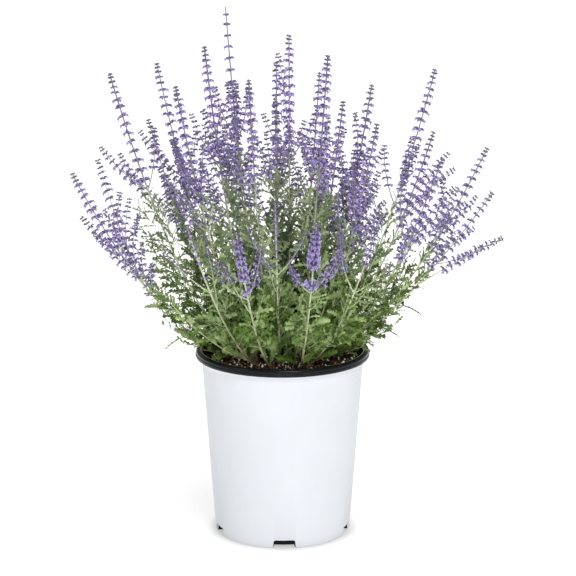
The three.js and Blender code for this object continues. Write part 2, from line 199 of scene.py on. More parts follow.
# Layers of colour are multiplied and veils are laid over them: what each follows (a value of the points, the
# height or the distance from the axis over a range in metres, or noise by spots to a metre, detail and
# roughness) and its stops. Bumps: spots to a metre, strength, height in metres, detail, roughness.
finishLooks = {
    # grey green blades: darker inside the plant (painted shade), lighter near the soil and paler at the
    # plant's outside (painted light), also paler along the rib, mottled, and with more grey bloom further up
    "leaf": {
        "name": "cutLeaf", "roughness": 0.6, "sheen": 0.02, "specular": 0.12,
        "layers": [
            (("tone",), [(0.0, linear(50, 72, 18)), (0.5, linear(95, 122, 56)),
                         (1.0, linear(148, 165, 126))]),
            # painted shade inside the plant and painted light at its outside, by the distance from the axis
            (("axis", 0.015, 0.175), [(0.0, (0.52, 0.56, 0.44)), (0.25, (1.05, 1.05, 1.04)),
                                      (0.5, (1.1, 1.09, 1.1)), (1.0, (1.42, 1.34, 1.52))]),
            # painted light that lifts the low leaves near the soil out of their shade
            (("height", 0.215, 0.44), [(0.0, (2.0, 2.1, 1.45)), (0.21, linear(250, 255, 232)),
                                       (1.0, linear(242, 241, 236))]),
            (("noise", 130.0, 5.0), [(0.32, (0.62, 0.66, 0.58)), (0.68, (1.38, 1.34, 1.3))])],
        "veils": [(("along",), [(0.72, grey(0.0)), (1.0, grey(0.42))], linear(156, 172, 134)),
                  (("height", 0.3, 0.42), [(0.0, grey(0.0)), (1.0, grey(0.46))], linear(174, 185, 152))],
        "bumps": (900.0, 0.5, 0.0004)},
    # woody at the foot, then pale green white, greyer and a little violet among the flowers, finely flecked
    "stalk": {
        "name": "paleStalk", "roughness": 0.58, "sheen": 0.15, "specular": 0.3,
        "layers": [
            (("height", 0.2, 0.6), [
                (0.02, linear(124, 108, 76)), (0.1, linear(176, 170, 126)), (0.19, linear(196, 206, 156)),
                (0.3, linear(206, 216, 174)), (0.48, linear(184, 190, 164)), (0.66, linear(150, 153, 140)),
                (0.95, linear(116, 116, 120))]),
            (("noise", 420.0), [(0.32, (0.8, 0.8, 0.82)), (0.68, (1.12, 1.12, 1.1))])],
        "bumps": (1500.0, 0.4, 0.0003)},
    # felted: dusky grey where it leaves the stalk, slate violet towards the mouth
    "calyx": {
        "name": "feltedCalyx", "roughness": 0.75, "sheen": 0.35, "specular": 0.2,
        "layers": [
            (("along",), [(0.0, linear(106, 101, 112)), (0.3, linear(90, 81, 116)),
                          (0.7, linear(97, 83, 141)), (1.0, linear(134, 117, 180))]),
            (("tone",), [(0.0, (0.72, 0.72, 0.76)), (1.0, (1.2, 1.14, 1.24))]),
            (("noise", 1100.0, 2.0), [(0.35, (0.84, 0.84, 0.86)), (0.7, (1.25, 1.24, 1.28))])],
        "bumps": (2200.0, 0.6, 0.0003)},
    # violet blue, lighter towards the lips and darker in the throat
    "petal": {
        "name": "violetPetal", "roughness": 0.55, "sheen": 0.2, "specular": 0.3,
        "layers": [
            (("along",), [(0.0, linear(96, 84, 141)), (0.5, linear(136, 120, 182)),
                          (1.0, linear(186, 175, 219))]),
            (("tone",), [(0.0, (0.78, 0.75, 0.84)), (1.0, (1.24, 1.19, 1.22))]),
            (("noise", 800.0, 2.0), [(0.35, (0.9, 0.88, 0.94)), (0.7, (1.1, 1.1, 1.06))])]},
    # moulded plastic, faintly blue, with a soft gloss and a very fine grain
    "white": {
        "name": "whitePlastic", "roughness": 0.42, "specular": 0.22,
        "layers": [(("noise", 9.0), [(0.3, linear(215, 218, 223)), (0.7, linear(221, 224, 229))])],
        "bumps": (1400.0, 0.12, 0.0002)},
    "black": {
        "name": "blackPlastic", "roughness": 0.24, "specular": 0.2,
        "layers": [(("noise", 30.0), [(0.3, linear(6, 8, 11)), (0.7, linear(13, 16, 20))])],
        "bumps": (1200.0, 0.2, 0.0002)},
    # the rim's inner edge is painted pale as a highlight, light enough to show in the shade of the leaves
    "lip": {
        "name": "paintedHighlightLip", "roughness": 0.34, "specular": 0.4,
        "layers": [(("noise", 60.0), [(0.35, linear(222, 223, 221)), (0.65, linear(236, 236, 233))])],
        "bumps": (1200.0, 0.2, 0.0002)},
    # dark damp peat with lighter crumbs
    "soil": {
        "name": "pottingSoil", "roughness": 0.95, "specular": 0.15,
        "layers": [(("noise", 240.0, 6.0, 0.7), [
            (0.3, linear(34, 23, 15)), (0.5, linear(94, 66, 46)), (0.72, linear(170, 132, 98))])],
        "bumps": (380.0, 0.9, 0.0016, 6.0, 0.7)},
    # each chip its own brown, crossed by fibres
    "bark": {
        "name": "barkChip", "roughness": 0.85, "specular": 0.2,
        "layers": [
            (("tone",), [(0.0, linear(50, 34, 24)), (0.6, linear(98, 66, 44)), (1.0, linear(142, 104, 72))]),
            (("noise", 500.0, 4.0), [(0.3, (0.7, 0.7, 0.7)), (0.7, (1.2, 1.18, 1.15))])],
        "bumps": (700.0, 0.7, 0.0006, 4.0)},
    # chalky glassy grains with a painted glow, so that they stay bright down in the pot's shade
    "perlite": {
        "name": "perliteGrain", "roughness": 0.9, "specular": 0.2, "paintedGlow": (0.22, (1.0, 0.95, 0.88, 1.0)),
        "layers": [(("noise", 600.0, 3.0), [(0.3, linear(214, 200, 180)), (0.7, linear(246, 240, 228))])],
        "bumps": (900.0, 0.6, 0.0005, 3.0)},
}


def noiseOf(tree, where, scale, detail=3.0, rough=0.55):
    # soft noise with this many spots to a metre
    values = {"Scale": scale, "Detail": detail, "Roughness": rough}
    return newNode(tree, "ShaderNodeTexNoise", values, {"Vector": where}).outputs["Fac"]


def heightOf(tree, where):
    # the object's own height
    return newNode(tree, "ShaderNodeSeparateXYZ", {}, {"Vector": where}).outputs["Z"]


def axisDistanceOf(tree, where):
    # distance from the upright axis of the pot: the length of the place without its height
    level = newNode(tree, "ShaderNodeVectorMath", {1: (1.0, 1.0, 0.0)}, {0: where}, operation="MULTIPLY")
    flat = {0: level.outputs["Vector"]}
    return newNode(tree, "ShaderNodeVectorMath", {}, flat, operation="LENGTH").outputs["Value"]


def sourceOf(tree, where, kind, *values):
    # what a ramp follows
    if kind == "noise":
        return noiseOf(tree, where, *values)
    if values:
        measure = heightOf if kind == "height" else axisDistanceOf
        return carried(tree, measure(tree, where), *values)
    return newNode(tree, "ShaderNodeAttribute", {}, {}, attribute_name=kind).outputs["Fac"]


def rampOf(tree, where, source, stops):
    # colours that follow a source, even between one stop and the next
    node = newNode(tree, "ShaderNodeValToRGB", {}, {"Fac": sourceOf(tree, where, *source)})
    band = node.color_ramp
    while len(band.elements) < len(stops):
        band.elements.new(0.5)
    for element, (place, colour) in zip(band.elements, stops):
        element.position = place
        element.color = (*colour, 1.0)
    return node.outputs["Color"]


def blendOf(tree, factor, low, high, how="MIX"):
    # a mix of two colours, even or by a socket; the upper one may be a plain colour
    node = newNode(tree, "ShaderNodeMix", {}, {}, data_type="RGBA", blend_type=how)
    ports = {port.name: port for port in node.inputs if port.enabled}
    for name, value in (("Factor", factor), ("A", low), ("B", high)):
        if hasattr(value, "is_output"):
            tree.links.new(value, ports[name])
        else:
            ports[name].default_value = value if name == "Factor" else (*value, 1.0)
    return [port for port in node.outputs if port.enabled][0]


def roughen(tree, where, shader, scale, strength, distance, detail=2.0, rough=0.55):
    # bumps from noise turn the shader's normal
    height = {"Height": noiseOf(tree, where, scale, detail, rough)}
    node = newNode(tree, "ShaderNodeBump", {"Strength": strength, "Distance": distance}, height)
    tree.links.new(node.outputs["Normal"], shader.inputs["Normal"])


def makeFinish(look):
    # even values stand on the shader itself; then layers, veils and bumps
    material = bpy.data.materials.new(look["name"])
    material.use_nodes = True
    tree = material.node_tree
    shader = tree.nodes["Principled BSDF"]
    shader.inputs["Roughness"].default_value = look["roughness"]
    shader.inputs["Sheen Weight"].default_value = look.get("sheen", 0.0)
    shader.inputs["Specular IOR Level"].default_value = look["specular"]
    # a painted glow, where a finish has one, keeps it bright in shade
    if "paintedGlow" in look:
        strength, colour = look["paintedGlow"]
        shader.inputs["Emission Color"].default_value = colour
        shader.inputs["Emission Strength"].default_value = strength
    where = tree.nodes.new("ShaderNodeTexCoord").outputs["Object"]
    first, *others = [rampOf(tree, where, *layer) for layer in look["layers"]]
    for other in others:
        first = blendOf(tree, 1.0, first, other, "MULTIPLY")
    for source, stops, over in look.get("veils", []):
        first = blendOf(tree, rampOf(tree, where, source, stops), first, over)
    tree.links.new(first, shader.inputs["Base Color"])
    if "bumps" in look:
        roughen(tree, where, shader, *look["bumps"])
    return material


finishes = {key: makeFinish(look) for key, look in finishLooks.items()}
print("finishes ready")


# Small sums: blends, directions and seeded chance

def mix(a, b, k):
    # a + (b-a)k
    return a + (b - a) * k


def unit(v):
    # v over its length
    v = np.asarray(v, dtype=float)
    return v / np.sqrt((v * v).sum(-1, keepdims=True))


def ray(right, ahead, angle):
    # a direction turned from right towards ahead by an angle
    return right * math.cos(angle) + ahead * math.sin(angle)


def rays(right, ahead, angles):
    # the same for many angles at once
    return right * np.cos(angles)[..., None] + ahead * np.sin(angles)[..., None]


def evenTurns(count):
    # angles of even steps round a circle
    return np.arange(count) * 2 * math.pi / count


def pairTurns(count):
    # two leaves of a pair stand half a turn apart, and each pair a quarter turn from the last
    k = np.arange(count)
    return (k % 2) * math.pi + (k // 2 % 2) * math.pi / 2


def drawn(rng, span, size=None):
    # one number or an array of them, even in a span: least + spread * chance
    least, spread = span
    return least + spread * rng.random(size)


def astray(rng, width, size=None):
    # even round zero, half the width to each side
    return (rng.random(size) - 0.5) * width


# Skins: points in millimetres, faces and two values per point, gathered for one piece

pieceSizes = {}


def newSkin():
    # what one piece gathers until it is made, and how many points it has so far
    return {"points": [], "quads": [], "tris": [], "quadSlots": [], "triSlots": [],
            "tone": [], "along": [], "count": 0}


def gridQuads(rows, columns):
    # quads between closed rings of points, facing outward where each ring turns left about its path
    r, c = np.meshgrid(np.arange(rows - 1), np.arange(columns), indexing="ij")
    n = (c + 1) % columns
    quads = np.stack([r * columns + c, r * columns + n, (r + 1) * columns + n, (r + 1) * columns + c], -1)
    return quads.reshape(-1, 4)


def capTris(first, columns, pole, forward):
    # triangles from a closed ring to one pole, ahead of the ring or behind it
    c = np.arange(columns)
    n = (c + 1) % columns
    ends = (first + c, first + n) if forward else (first + n, first + c)
    return np.stack([ends[0], ends[1], np.full(columns, pole)], -1)


def ringsFaces(rows, columns):
    # faces of a closed tube: its rings, then the pole behind the first ring and the pole ahead of the last
    behind = capTris(0, columns, rows * columns, False)
    ahead = capTris((rows - 1) * columns, columns, rows * columns + 1, True)
    return gridQuads(rows, columns), np.concatenate([behind, ahead])


def laySkin(skin, rows, columns, points, quadSlots, triSlots, tone, along):
    # closed tubes, one or many alike, join a skin: the points of each are its rings in turn, then the pole
    # behind the first ring and the pole ahead of the last; faces have a finish, points two values
    points = points.reshape(-1, 3)
    step = rows * columns + 2
    shifts = (skin["count"] + np.arange(len(points) // step) * step)[:, None, None]
    quads, tris = ((faces[None] + shifts).reshape(-1, faces.shape[1]) for faces in ringsFaces(rows, columns))
    for key, value in (("points", points), ("quads", quads), ("tris", tris)):
        skin[key].append(value)
    for key, value, owner in (("quadSlots", quadSlots, quads), ("triSlots", triSlots, tris),
                              ("tone", tone, points), ("along", along, points)):
        skin[key].append(np.broadcast_to(value, (len(owner),)))
    skin["count"] += len(points)


def addPiece(name, skin, materials, nodes, sharpDeg):
    # a gathered skin becomes one mesh object at the origin that rides on the root body
    points = np.concatenate(skin["points"]) * 0.001
    quads = np.concatenate(skin["quads"])
    tris = np.concatenate(skin["tris"])
    corners = np.concatenate([quads.ravel(), tris.ravel()]).astype(np.int32)
    sizes = np.concatenate([np.full(len(quads), 4), np.full(len(tris), 3)]).astype(np.int32)
    starts = np.concatenate([[0], np.cumsum(sizes)[:-1]]).astype(np.int32)
    slots = np.concatenate(skin["quadSlots"] + skin["triSlots"]).astype(np.int32)
    mesh = bpy.data.meshes.new(name)
    mesh.vertices.add(len(points))
    mesh.vertices.foreach_set("co", points.astype(np.float32).ravel())
    mesh.loops.add(len(corners))
    mesh.loops.foreach_set("vertex_index", corners)
    mesh.polygons.add(len(sizes))
    mesh.polygons.foreach_set("loop_start", starts)
    mesh.polygons.foreach_set("loop_total", sizes)
    for material in materials:
        mesh.materials.append(material)
    mesh.polygons.foreach_set("material_index", slots)
    for key in ("tone", "along"):
        layer = mesh.attributes.new(key, "FLOAT", "POINT")
        layer.data.foreach_set("value", np.concatenate(skin[key]).astype(np.float32))
    mesh.update(calc_edges=True)
    mesh.polygons.foreach_set("use_smooth", np.ones(len(sizes), dtype=bool))
    mesh.set_sharp_from_angle(angle=math.radians(sharpDeg))
    mesh.validate()
    piece = bpy.data.objects.new(name, mesh)
    bpy.context.scene.collection.objects.link(piece)
    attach(piece, "root")
    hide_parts(*nodes)
    pieceSizes[name] = len(quads) * 2 + len(tris)


# The pot: one profile carried round, its foot cut by five notches

potShape = {
    "height": 232.6, "rimRadius": 108.0, "rimBand": 7.6, "rimInner": 99.5, "flareHeight": 8.6,
    "wallTop": 100.0, "baseRadius": 84.0, "wall": 2.0,
    "floor": 12.6,          # height of the inner floor
    "columns": 180,
    "notches": 5, "notchTurn": -88.3, "notchDepth": 14.0,
    "notchRoom": 15.5,      # even columns keep this far from the middle of a notch
    # a notch's edge from its corner to its middle: distance from the middle, height
    "notchEdge": [(14.5, 0.0), (14.25, 2.0), (13.7, 6.0), (13.2, 8.3), (12.4, 9.4), (11.2, 9.9),
                  (9.5, 10.0), (0.0, 10.0)],
}


def potOuter(z):
    # the wall widens evenly from the foot to the flare
    top = potShape["height"] - potShape["rimBand"] - potShape["flareHeight"]
    return mix(potShape["baseRadius"], potShape["wallTop"], z / top)


def potColumns():
    # even columns round the pot, less those near a notch, plus one for each bend of the notch's edge
    middles = math.radians(potShape["notchTurn"]) + evenTurns(potShape["notches"])
    even = evenTurns(potShape["columns"])
    apart = (even[:, None] - middles[None] + math.pi) % (2 * math.pi) - math.pi
    even = even[np.abs(apart).min(1) * potShape["baseRadius"] > potShape["notchRoom"]]
    edge = np.array(potShape["notchEdge"])
    offsets = np.concatenate([-edge[:, 0], edge[:-1, 0]]) / potShape["baseRadius"]
    heights = np.concatenate([edge[:, 1], edge[:-1, 1]])
    angles = np.concatenate([even, (middles[:, None] + offsets[None]).ravel() % (2 * math.pi)])
    lifts = np.concatenate([np.zeros(len(even)), np.tile(heights, len(middles))])
    order = np.argsort(angles)
    return angles[order], lifts[order]


def makePot():
    # each row is a radius and a height; rows of the foot rise to the notch's edge where there is one
    angles, lifts = potColumns()
    rim = potShape["height"]
    band = rim - potShape["rimBand"]
    wallTop = band - potShape["flareHeight"]
    r = potShape["rimRadius"]
    base = potShape["baseRadius"]
    inner = potShape["rimInner"]
    deep = base - potShape["notchDepth"]
    wide = potShape["wallTop"]
    wall = potShape["wall"]
    inside = potShape["floor"]
    # radius, height, share of the notch's rise, 0 where the plastic is white, 1 black, 2 pale along the lip
    # as a painted highlight
    table = np.array([
        (deep, 0.0, 0.0, 1), (deep + 0.4, 0.0, 1.0, 1), (base - 2.2, 0.0, 1.0, 1), (base - 1.2, 0.0, 1.0, 0),
        (base - 0.4, 0.4, 0.97, 0), (base, 1.3, 0.9, 0),
        (potOuter(11.5), 11.5, 0.0, 0), (potOuter(60.0), 60.0, 0.0, 0), (potOuter(120.0), 120.0, 0.0, 0),
        (potOuter(180.0), 180.0, 0.0, 0), (potOuter(wallTop - 3), wallTop - 3, 0.0, 0),
        (wide + 0.05, wallTop - 0.6, 0.0, 0), (wide + 0.5, wallTop + 0.7, 0.0, 0),
        (wide + 2.2, wallTop + 3.2, 0.0, 0), (r - 1.6, band - 1.9, 0.0, 0), (r - 0.4, band - 1.0, 0.0, 0),
        (r - 0.25, band - 0.2, 0.0, 1), (r, band + 0.5, 0.0, 1), (r, band + 2.2, 0.0, 1),
        (r - 0.7, band + 2.8, 0.0, 1), (r - 0.7, rim - 2.6, 0.0, 1), (r - 0.9, rim - 1.5, 0.0, 1),
        (r - 1.6, rim - 0.5, 0.0, 1), (r - 2.8, rim - 0.05, 0.0, 1), (r - 4.2, rim - 0.3, 0.0, 1),
        (inner + 3.6, rim - 0.3, 0.0, 1), (inner + 2.4, rim - 0.02, 0.0, 1),
        # the inner bead of the lip takes the pale finish, a painted highlight
        (inner + 1.3, rim - 0.35, 0.0, 2), (inner + 0.4, rim - 1.3, 0.0, 2),
        (inner, rim - 2.8, 0.0, 1), (inner - 0.6, rim - 5.0, 0.0, 1),
        (inner - 1.6, wallTop, 0.0, 1), (potOuter(120.0) - wall, 120.0, 0.0, 1),
        (potOuter(14.0) - wall, 14.0, 0.0, 1), (potOuter(6.0) - 2 * wall, inside, 0.0, 1),
    ])
    radii = table[:, 0][:, None]
    low = table[:, 1][:, None]
    heights = np.maximum(low, table[:, 2][:, None] * (lifts[None] + low))
    rings = np.stack([radii * np.cos(angles), radii * np.sin(angles), heights], -1)
    poles = np.array([[0.0, 0.0, 0.0], [0.0, 0.0, inside]])
    skin = newSkin()
    laySkin(skin, len(table), len(angles), np.concatenate([rings.reshape(-1, 3), poles]),
            np.repeat(table[1:, 3].astype(int), len(angles)), 1, 0.5, 0.5)
    addPiece("finePot", skin, [finishes["white"], finishes["black"], finishes["lip"]], ["pot"], 40)


makePot()
print("pot ready")


# The soil: a crumbly top inside the pot, with chips of bark and grains of perlite on it

soilShape = {
    "level": 217.0, "gap": 0.3, "columns": 128, "rings": 42, "discRadius": 93.0, "seed": 411,
    "heap": 1.0,            # the waves stand this far over the level
    "rough": 1.7,           # single points are off by this much, and less near the middle
    "roughFrom": 12.0,
    "edgeDrop": 3.5,        # the edge of the top lies lower, and its wall starts under it
    "wallDrop": 5.0,
    # the wall goes down inside the pot to its floor: gap to the pot's outside, height
    "wallRows": [(2.3, 120.0), (2.3, 15.0)], "floorRadius": 60.0, "floor": 14.9,
    # crumbs, chips of bark, grains of perlite: count, how far up, sizes, finish, squash
    "lumps": [(260, 0.3, (0.8, 1.3), 0, (1.0, 1.0, 0.8)), (300, 1.0, (1.4, 2.6), 1, (1.5, 0.7, 0.42)),
              (430, 1.1, (0.5, 1.0), 2, (1.0, 0.9, 0.85))],
    # a lump before it is squashed: three rings of six points between two poles
    "lumpLevels": (-0.6, 0.05, 0.65), "lumpWidths": (0.75, 1.0, 0.7), "lumpSides": 6, "lumpPole": 0.95,
    "lumpAstray": (0.72, 0.5), "lumpTilt": 1.1,
}


def soilTop(x, y):
    # low waves and finer lumps on the level that the stems stand in: products and sums of sines
    waves = 1.1 * np.sin(0.13 * x + 0.7) * np.cos(0.11 * y - 0.4)
    lumps = 0.7 * np.sin(0.31 * x + 2.1) * np.sin(0.27 * y + 0.9) + 0.45 * np.sin(0.62 * x - 0.5 * y)
    return soilShape["level"] + soilShape["heap"] + waves + lumps


def scatterLumps(skin, rng, places, sizes, slot, squash):
    # rough closed lumps, each pulled out of shape, tipped about x and turned about z
    shape = soilShape
    count = len(places)
    levels = np.array(shape["lumpLevels"])[:, None]
    widths = np.array(shape["lumpWidths"])[:, None]
    a = evenTurns(shape["lumpSides"])
    ring = np.stack([widths * np.cos(a), widths * np.sin(a), levels + 0 * a], -1)
    form = np.concatenate([ring.reshape(-1, 3), [[0, 0, -shape["lumpPole"]], [0, 0, shape["lumpPole"]]]])
    form = form[None] * drawn(rng, shape["lumpAstray"], (count, len(form), 1))
    form = form * (sizes[:, None] * squash[None])[:, None, :]
    tilt = astray(rng, shape["lumpTilt"], count)[:, None]
    heading = (rng.random(count) * 2 * math.pi)[:, None]
    leant = form[..., 1] * np.cos(tilt) - form[..., 2] * np.sin(tilt)
    z = form[..., 1] * np.sin(tilt) + form[..., 2] * np.cos(tilt)
    x = form[..., 0] * np.cos(heading) - leant * np.sin(heading)
    y = form[..., 0] * np.sin(heading) + leant * np.cos(heading)
    points = np.stack([x, y, z], -1) + places[:, None]
    laySkin(skin, len(levels), len(a), points, slot, slot, np.repeat(rng.random(count), form.shape[1]), 0.5)


def scatterPlaces(rng, count, up):
    # even over the disc of soil (the root of a chance, times the radius), each resting on its surface
    far = np.sqrt(rng.random(count)) * soilShape["discRadius"]
    angle = rng.random(count) * 2 * math.pi
    x = far * np.cos(angle)
    y = far * np.sin(angle)
    return np.stack([x, y, soilTop(x, y) + up], -1)


def makeSoil():
    # rings from the middle of the top to its edge, then the wall and the underside, and the lumps on top
    shape = soilShape
    rng = np.random.default_rng(shape["seed"])
    level = shape["level"]
    a = evenTurns(shape["columns"])
    edge = potOuter(level - shape["wallDrop"]) - potShape["wall"] - shape["gap"]
    radii = np.concatenate([np.linspace(2.0, edge - 3, shape["rings"]), [edge - 1.0]])[:, None]
    x = radii * np.cos(a)
    y = radii * np.sin(a)
    rough = astray(rng, 1.0, x.shape) * np.minimum(shape["rough"], radii / shape["roughFrom"])
    top = np.stack([x, y, soilTop(x, y) + rough], -1)
    top[-1, :, 2] = level - shape["edgeDrop"]
    wall = [(edge, level - shape["wallDrop"])] + [(potOuter(z) - gap, z) for gap, z in shape["wallRows"]]
    wall.append((shape["floorRadius"], shape["floor"]))
    low = np.array([np.stack([r * np.cos(a), r * np.sin(a), np.full(len(a), z)], -1) for r, z in wall])
    rings = np.concatenate([top, low])[::-1]
    poles = np.array([[0.0, 0.0, shape["floor"]], [0.0, 0.0, float(soilTop(0.0, 0.0))]])
    skin = newSkin()
    laySkin(skin, len(rings), len(a), np.concatenate([rings.reshape(-1, 3), poles]), 0, 0, 0.5, 0.5)
    for count, up, sizes, slot, squash in shape["lumps"]:
        places = scatterPlaces(rng, count, up)
        scatterLumps(skin, rng, places, drawn(rng, sizes, count), slot, np.array(squash))
    addPiece("fineSoil", skin, [finishes["soil"], finishes["bark"], finishes["perlite"]], ["soil"],
             35)


makeSoil()
print("soil ready")


# The plant's skeleton in millimetres, grown by the same rule as its solids

plantShape = {
    "footRise": 3.0, "footRadius": 12.0, "footSpread": 0.2, "buried": 12.0,
    # balls keep this far off the soil, off the rim's top and its two sides, and outside it they hang no lower
    # than this below its top
    "offSoil": 1.0, "offTop": 1.5, "insideRim": 3.0, "outsideRim": 2.0, "wallBelow": 40.0,
    "stemHalf": 1.6, "tipHalf": 0.8,
    "stemWhorl": {"pitch": 15.5, "reach": 8.4, "tipReach": 3.2},
    "sideWhorl": {"pitch": 13.0, "reach": 6.8, "tipReach": 3.0},
    "tipPitch": 9.5, "bareTip": 5.0, "shrinkingWhorls": 5, "spikeShare": 0.36,
    "sideHalf": 1.5, "sideTipHalf": 1.04, "sideBare": 0.38,
    "sideReach": 56.0, "sideReachSpread": 30.0, "sideAngle": math.radians(40.0),
    "sideNodeGap": 26.0, "sideNodes": 2,
    "leafReach": 44.0, "fullLeaf": 40.0, "leafHalf": 6.6, "leafNodeStart": 14.0, "leafNodeGap": 46.0,
    "leafNodes": 3, "leafNodeHeight": 4.6, "leafRise": math.radians(38.0), "leafSag": 0.3,
    "leafSize": (0.9, 0.2), "leafShrink": 0.62, "leafShrinkBy": 190.0, "cutRoom": 10.0,
    "room": 0.6, "rootDepth": 1.2, "seam": 0.3, "seed": 20117, "leafSeed": 7000, "flowerSeed": 9000,
}
# How often each part is tried and what changes each time, then its course and the balls along it
tryShape = {
    "stemTimes": 40, "stemTurn": 3, "stemAside": 1.5, "stemStep": 3.0, "stemBall": 2.4,
    "sideTimes": 6, "sideWider": 0.09, "sideShorter": 0.12, "sideEndAngle": 0.7, "sideBelow": 8.0,
    "sideFirst": 8.0, "sideStep": 4.0, "sideBall": 1.4, "branchBend": 0.08,
    "leafTimes": 5, "leafSteeper": 0.16, "leafShorter": 0.09, "leafEnd": 0.94,
    # shares of a leaf's length with a ball at each, smaller outside the two shares
    "leafShares": (0.2, 0.36, 0.52, 0.68, 0.84, 0.98), "leafFull": (0.3, 0.9), "leafBall": 0.4,
}

# One row for a stem: tip x, y, z, sag of its curve, turn of its foot in degrees
stemRows = [
    (-208, -10, 577, 100, 0), (-155, 60, 580, 90, 0), (-126, -70, 570, 80, 0), (-93, -30, 612, 80, 0),
    (-69, 30, 652, 80, 0), (-40, -50, 575, 60, 0), (-8, 95, 577, 70, 0), (8, 10, 621, 40, 0),
    (54, -50, 604, 70, 0), (47, 150, 556, 80, 0), (75, 50, 534, 50, 0), (109, 20, 559, 70, 0),
    (112, -75, 526, 70, 0), (186, 20, 578, 90, 0), (191, 110, 486, 80, 0), (191, -60, 482, 80, 0),
    (254, 50, 476, 70, 0), (256, -10, 431, 36, 0), (-171, 130, 499, 80, 0), (-255, -20, 457, 74, 0),
    (39, -215, 435, 60, 12), (-52, -205, 422, 60, 0), (-8, -150, 445, 50, 0), (-110, -160, 420, 60, 0),
    (110, -160, 420, 60, 0), (-60, 215, 470, 70, 0), (60, 225, 490, 70, 0), (-10, 170, 520, 60, 0),
]

# Long side branches with a tip of their own: stem, share of its length, tip x, y, z
branchRows = [
    (19, 0.5, -227, 20, 467),
    (19, 0.44, -225, -75, 394),
    (17, 0.5, 265, -60, 385),
]


def parkMiller(seed):
    # each number is the last times 16807, less every whole 2147483647
    while True:
        seed = (seed * 16807) % 2147483647
        yield seed / 2147483647


draws = parkMiller(plantShape["seed"])


def arcPlace(arc, t):
    # start(1-t)^2 + bend 2t(1-t) + end t^2
    t = np.asarray(t, dtype=float)[..., None]
    return arc["start"] * (1 - t) ** 2 + arc["bend"] * (2 * t * (1 - t)) + arc["end"] * t * t


def arcRows(starts, bends, ends, shares):
    # the same for many arcs at once, a row of places for each
    t = np.asarray(shares)[None, :, None]
    return starts[:, None] * (1 - t) ** 2 + bends[:, None] * (2 * t * (1 - t)) + ends[:, None] * t * t


def newArc(start, bend, end):
    # a quadratic arc with the distance walked at each of 48 steps
    arc = {"start": np.array(start, dtype=float), "bend": np.array(bend, dtype=float),
           "end": np.array(end, dtype=float), "shares": np.linspace(0.0, 1.0, 49)}
    steps = np.diff(arcPlace(arc, arc["shares"]), axis=0)
    arc["reached"] = np.concatenate([[0.0], np.cumsum(np.sqrt((steps * steps).sum(-1)))])
    arc["length"] = float(arc["reached"][-1])
    return arc


def walk(arc, s):
    # place and direction at distance s from the arc's start
    t = np.interp(s, arc["reached"], arc["shares"])
    k = np.asarray(t)[..., None]
    slope = (arc["bend"] - arc["start"]) * (1 - k) + (arc["end"] - arc["bend"]) * k
    return arcPlace(arc, t), unit(slope)


# What is already placed, as balls: a new spike or leaf is tried against them before it is kept
neighbours = {"places": np.zeros((0, 3)), "radii": np.zeros(0), "owners": np.zeros(0, dtype=int),
              "cores": np.zeros(0, dtype=bool)}


def hitsPot(places, radii):
    # over the soil a ball stays above it, over the rim above that, and outside above the pot's upper wall
    shape = plantShape
    top = potShape["height"]
    far = np.sqrt(places[..., 0] ** 2 + places[..., 1] ** 2)
    within = far < potShape["rimInner"] - shape["insideRim"]
    overRim = ~within & (far - radii < potShape["rimRadius"] + shape["outsideRim"])
    outside = np.where(overRim, top + shape["offTop"], top - shape["wallBelow"])
    return places[..., 2] - radii < np.where(within, soilShape["level"] + shape["offSoil"], outside)


def fitsIn(places, radii, owner, strict, free, room):
    # true if no two balls come nearer than their radii and the room, but for the stem's own core, and the
    # strict ones keep off that too
    if free and hitsPot(places, radii).any():
        return False
    gap = places[:, None, :] - neighbours["places"][None]
    reach = radii[:, None] + neighbours["radii"][None] + room
    own = (neighbours["owners"] == owner) & neighbours["cores"]
    near = (gap * gap).sum(-1) < reach * reach
    return not (near & ~(own[None] & ~strict[:, None])).any()


def keepBalls(places, radii, owner, cores):
    # balls join the neighbours
    count = len(radii)
    neighbours["places"] = np.concatenate([neighbours["places"], places])
    neighbours["radii"] = np.concatenate([neighbours["radii"], radii])
    neighbours["owners"] = np.concatenate([neighbours["owners"], np.full(count, owner)])
    neighbours["cores"] = np.concatenate([neighbours["cores"], np.broadcast_to(cores, (count,))])


def whorlsAlong(length, start, kind):
    # whorls from the tip down: pitch and reach grow over the first few below the tip
    whorls = []
    top = length - plantShape["bareTip"]
    k = 0
    while top > start:
        share = min(1.0, k / plantShape["shrinkingWhorls"])
        low = top - mix(plantShape["tipPitch"], kind["pitch"], share)
        if low < start:
            break
        whorls.insert(0, (low, top, (low + top) / 2, mix(kind["tipReach"], kind["reach"], share)))
        top = low
        k += 1
    return whorls


def ballsAlong(curve, steps, radius, whorls):
    # small balls along a stalk, and one at the middle of each whorl
    middles = np.array([whorl[2] for whorl in whorls])
    places = np.concatenate([walk(curve, steps)[0], walk(curve, middles)[0]])
    return places, np.concatenate([np.full(len(steps), radius), [whorl[3] for whorl in whorls]])


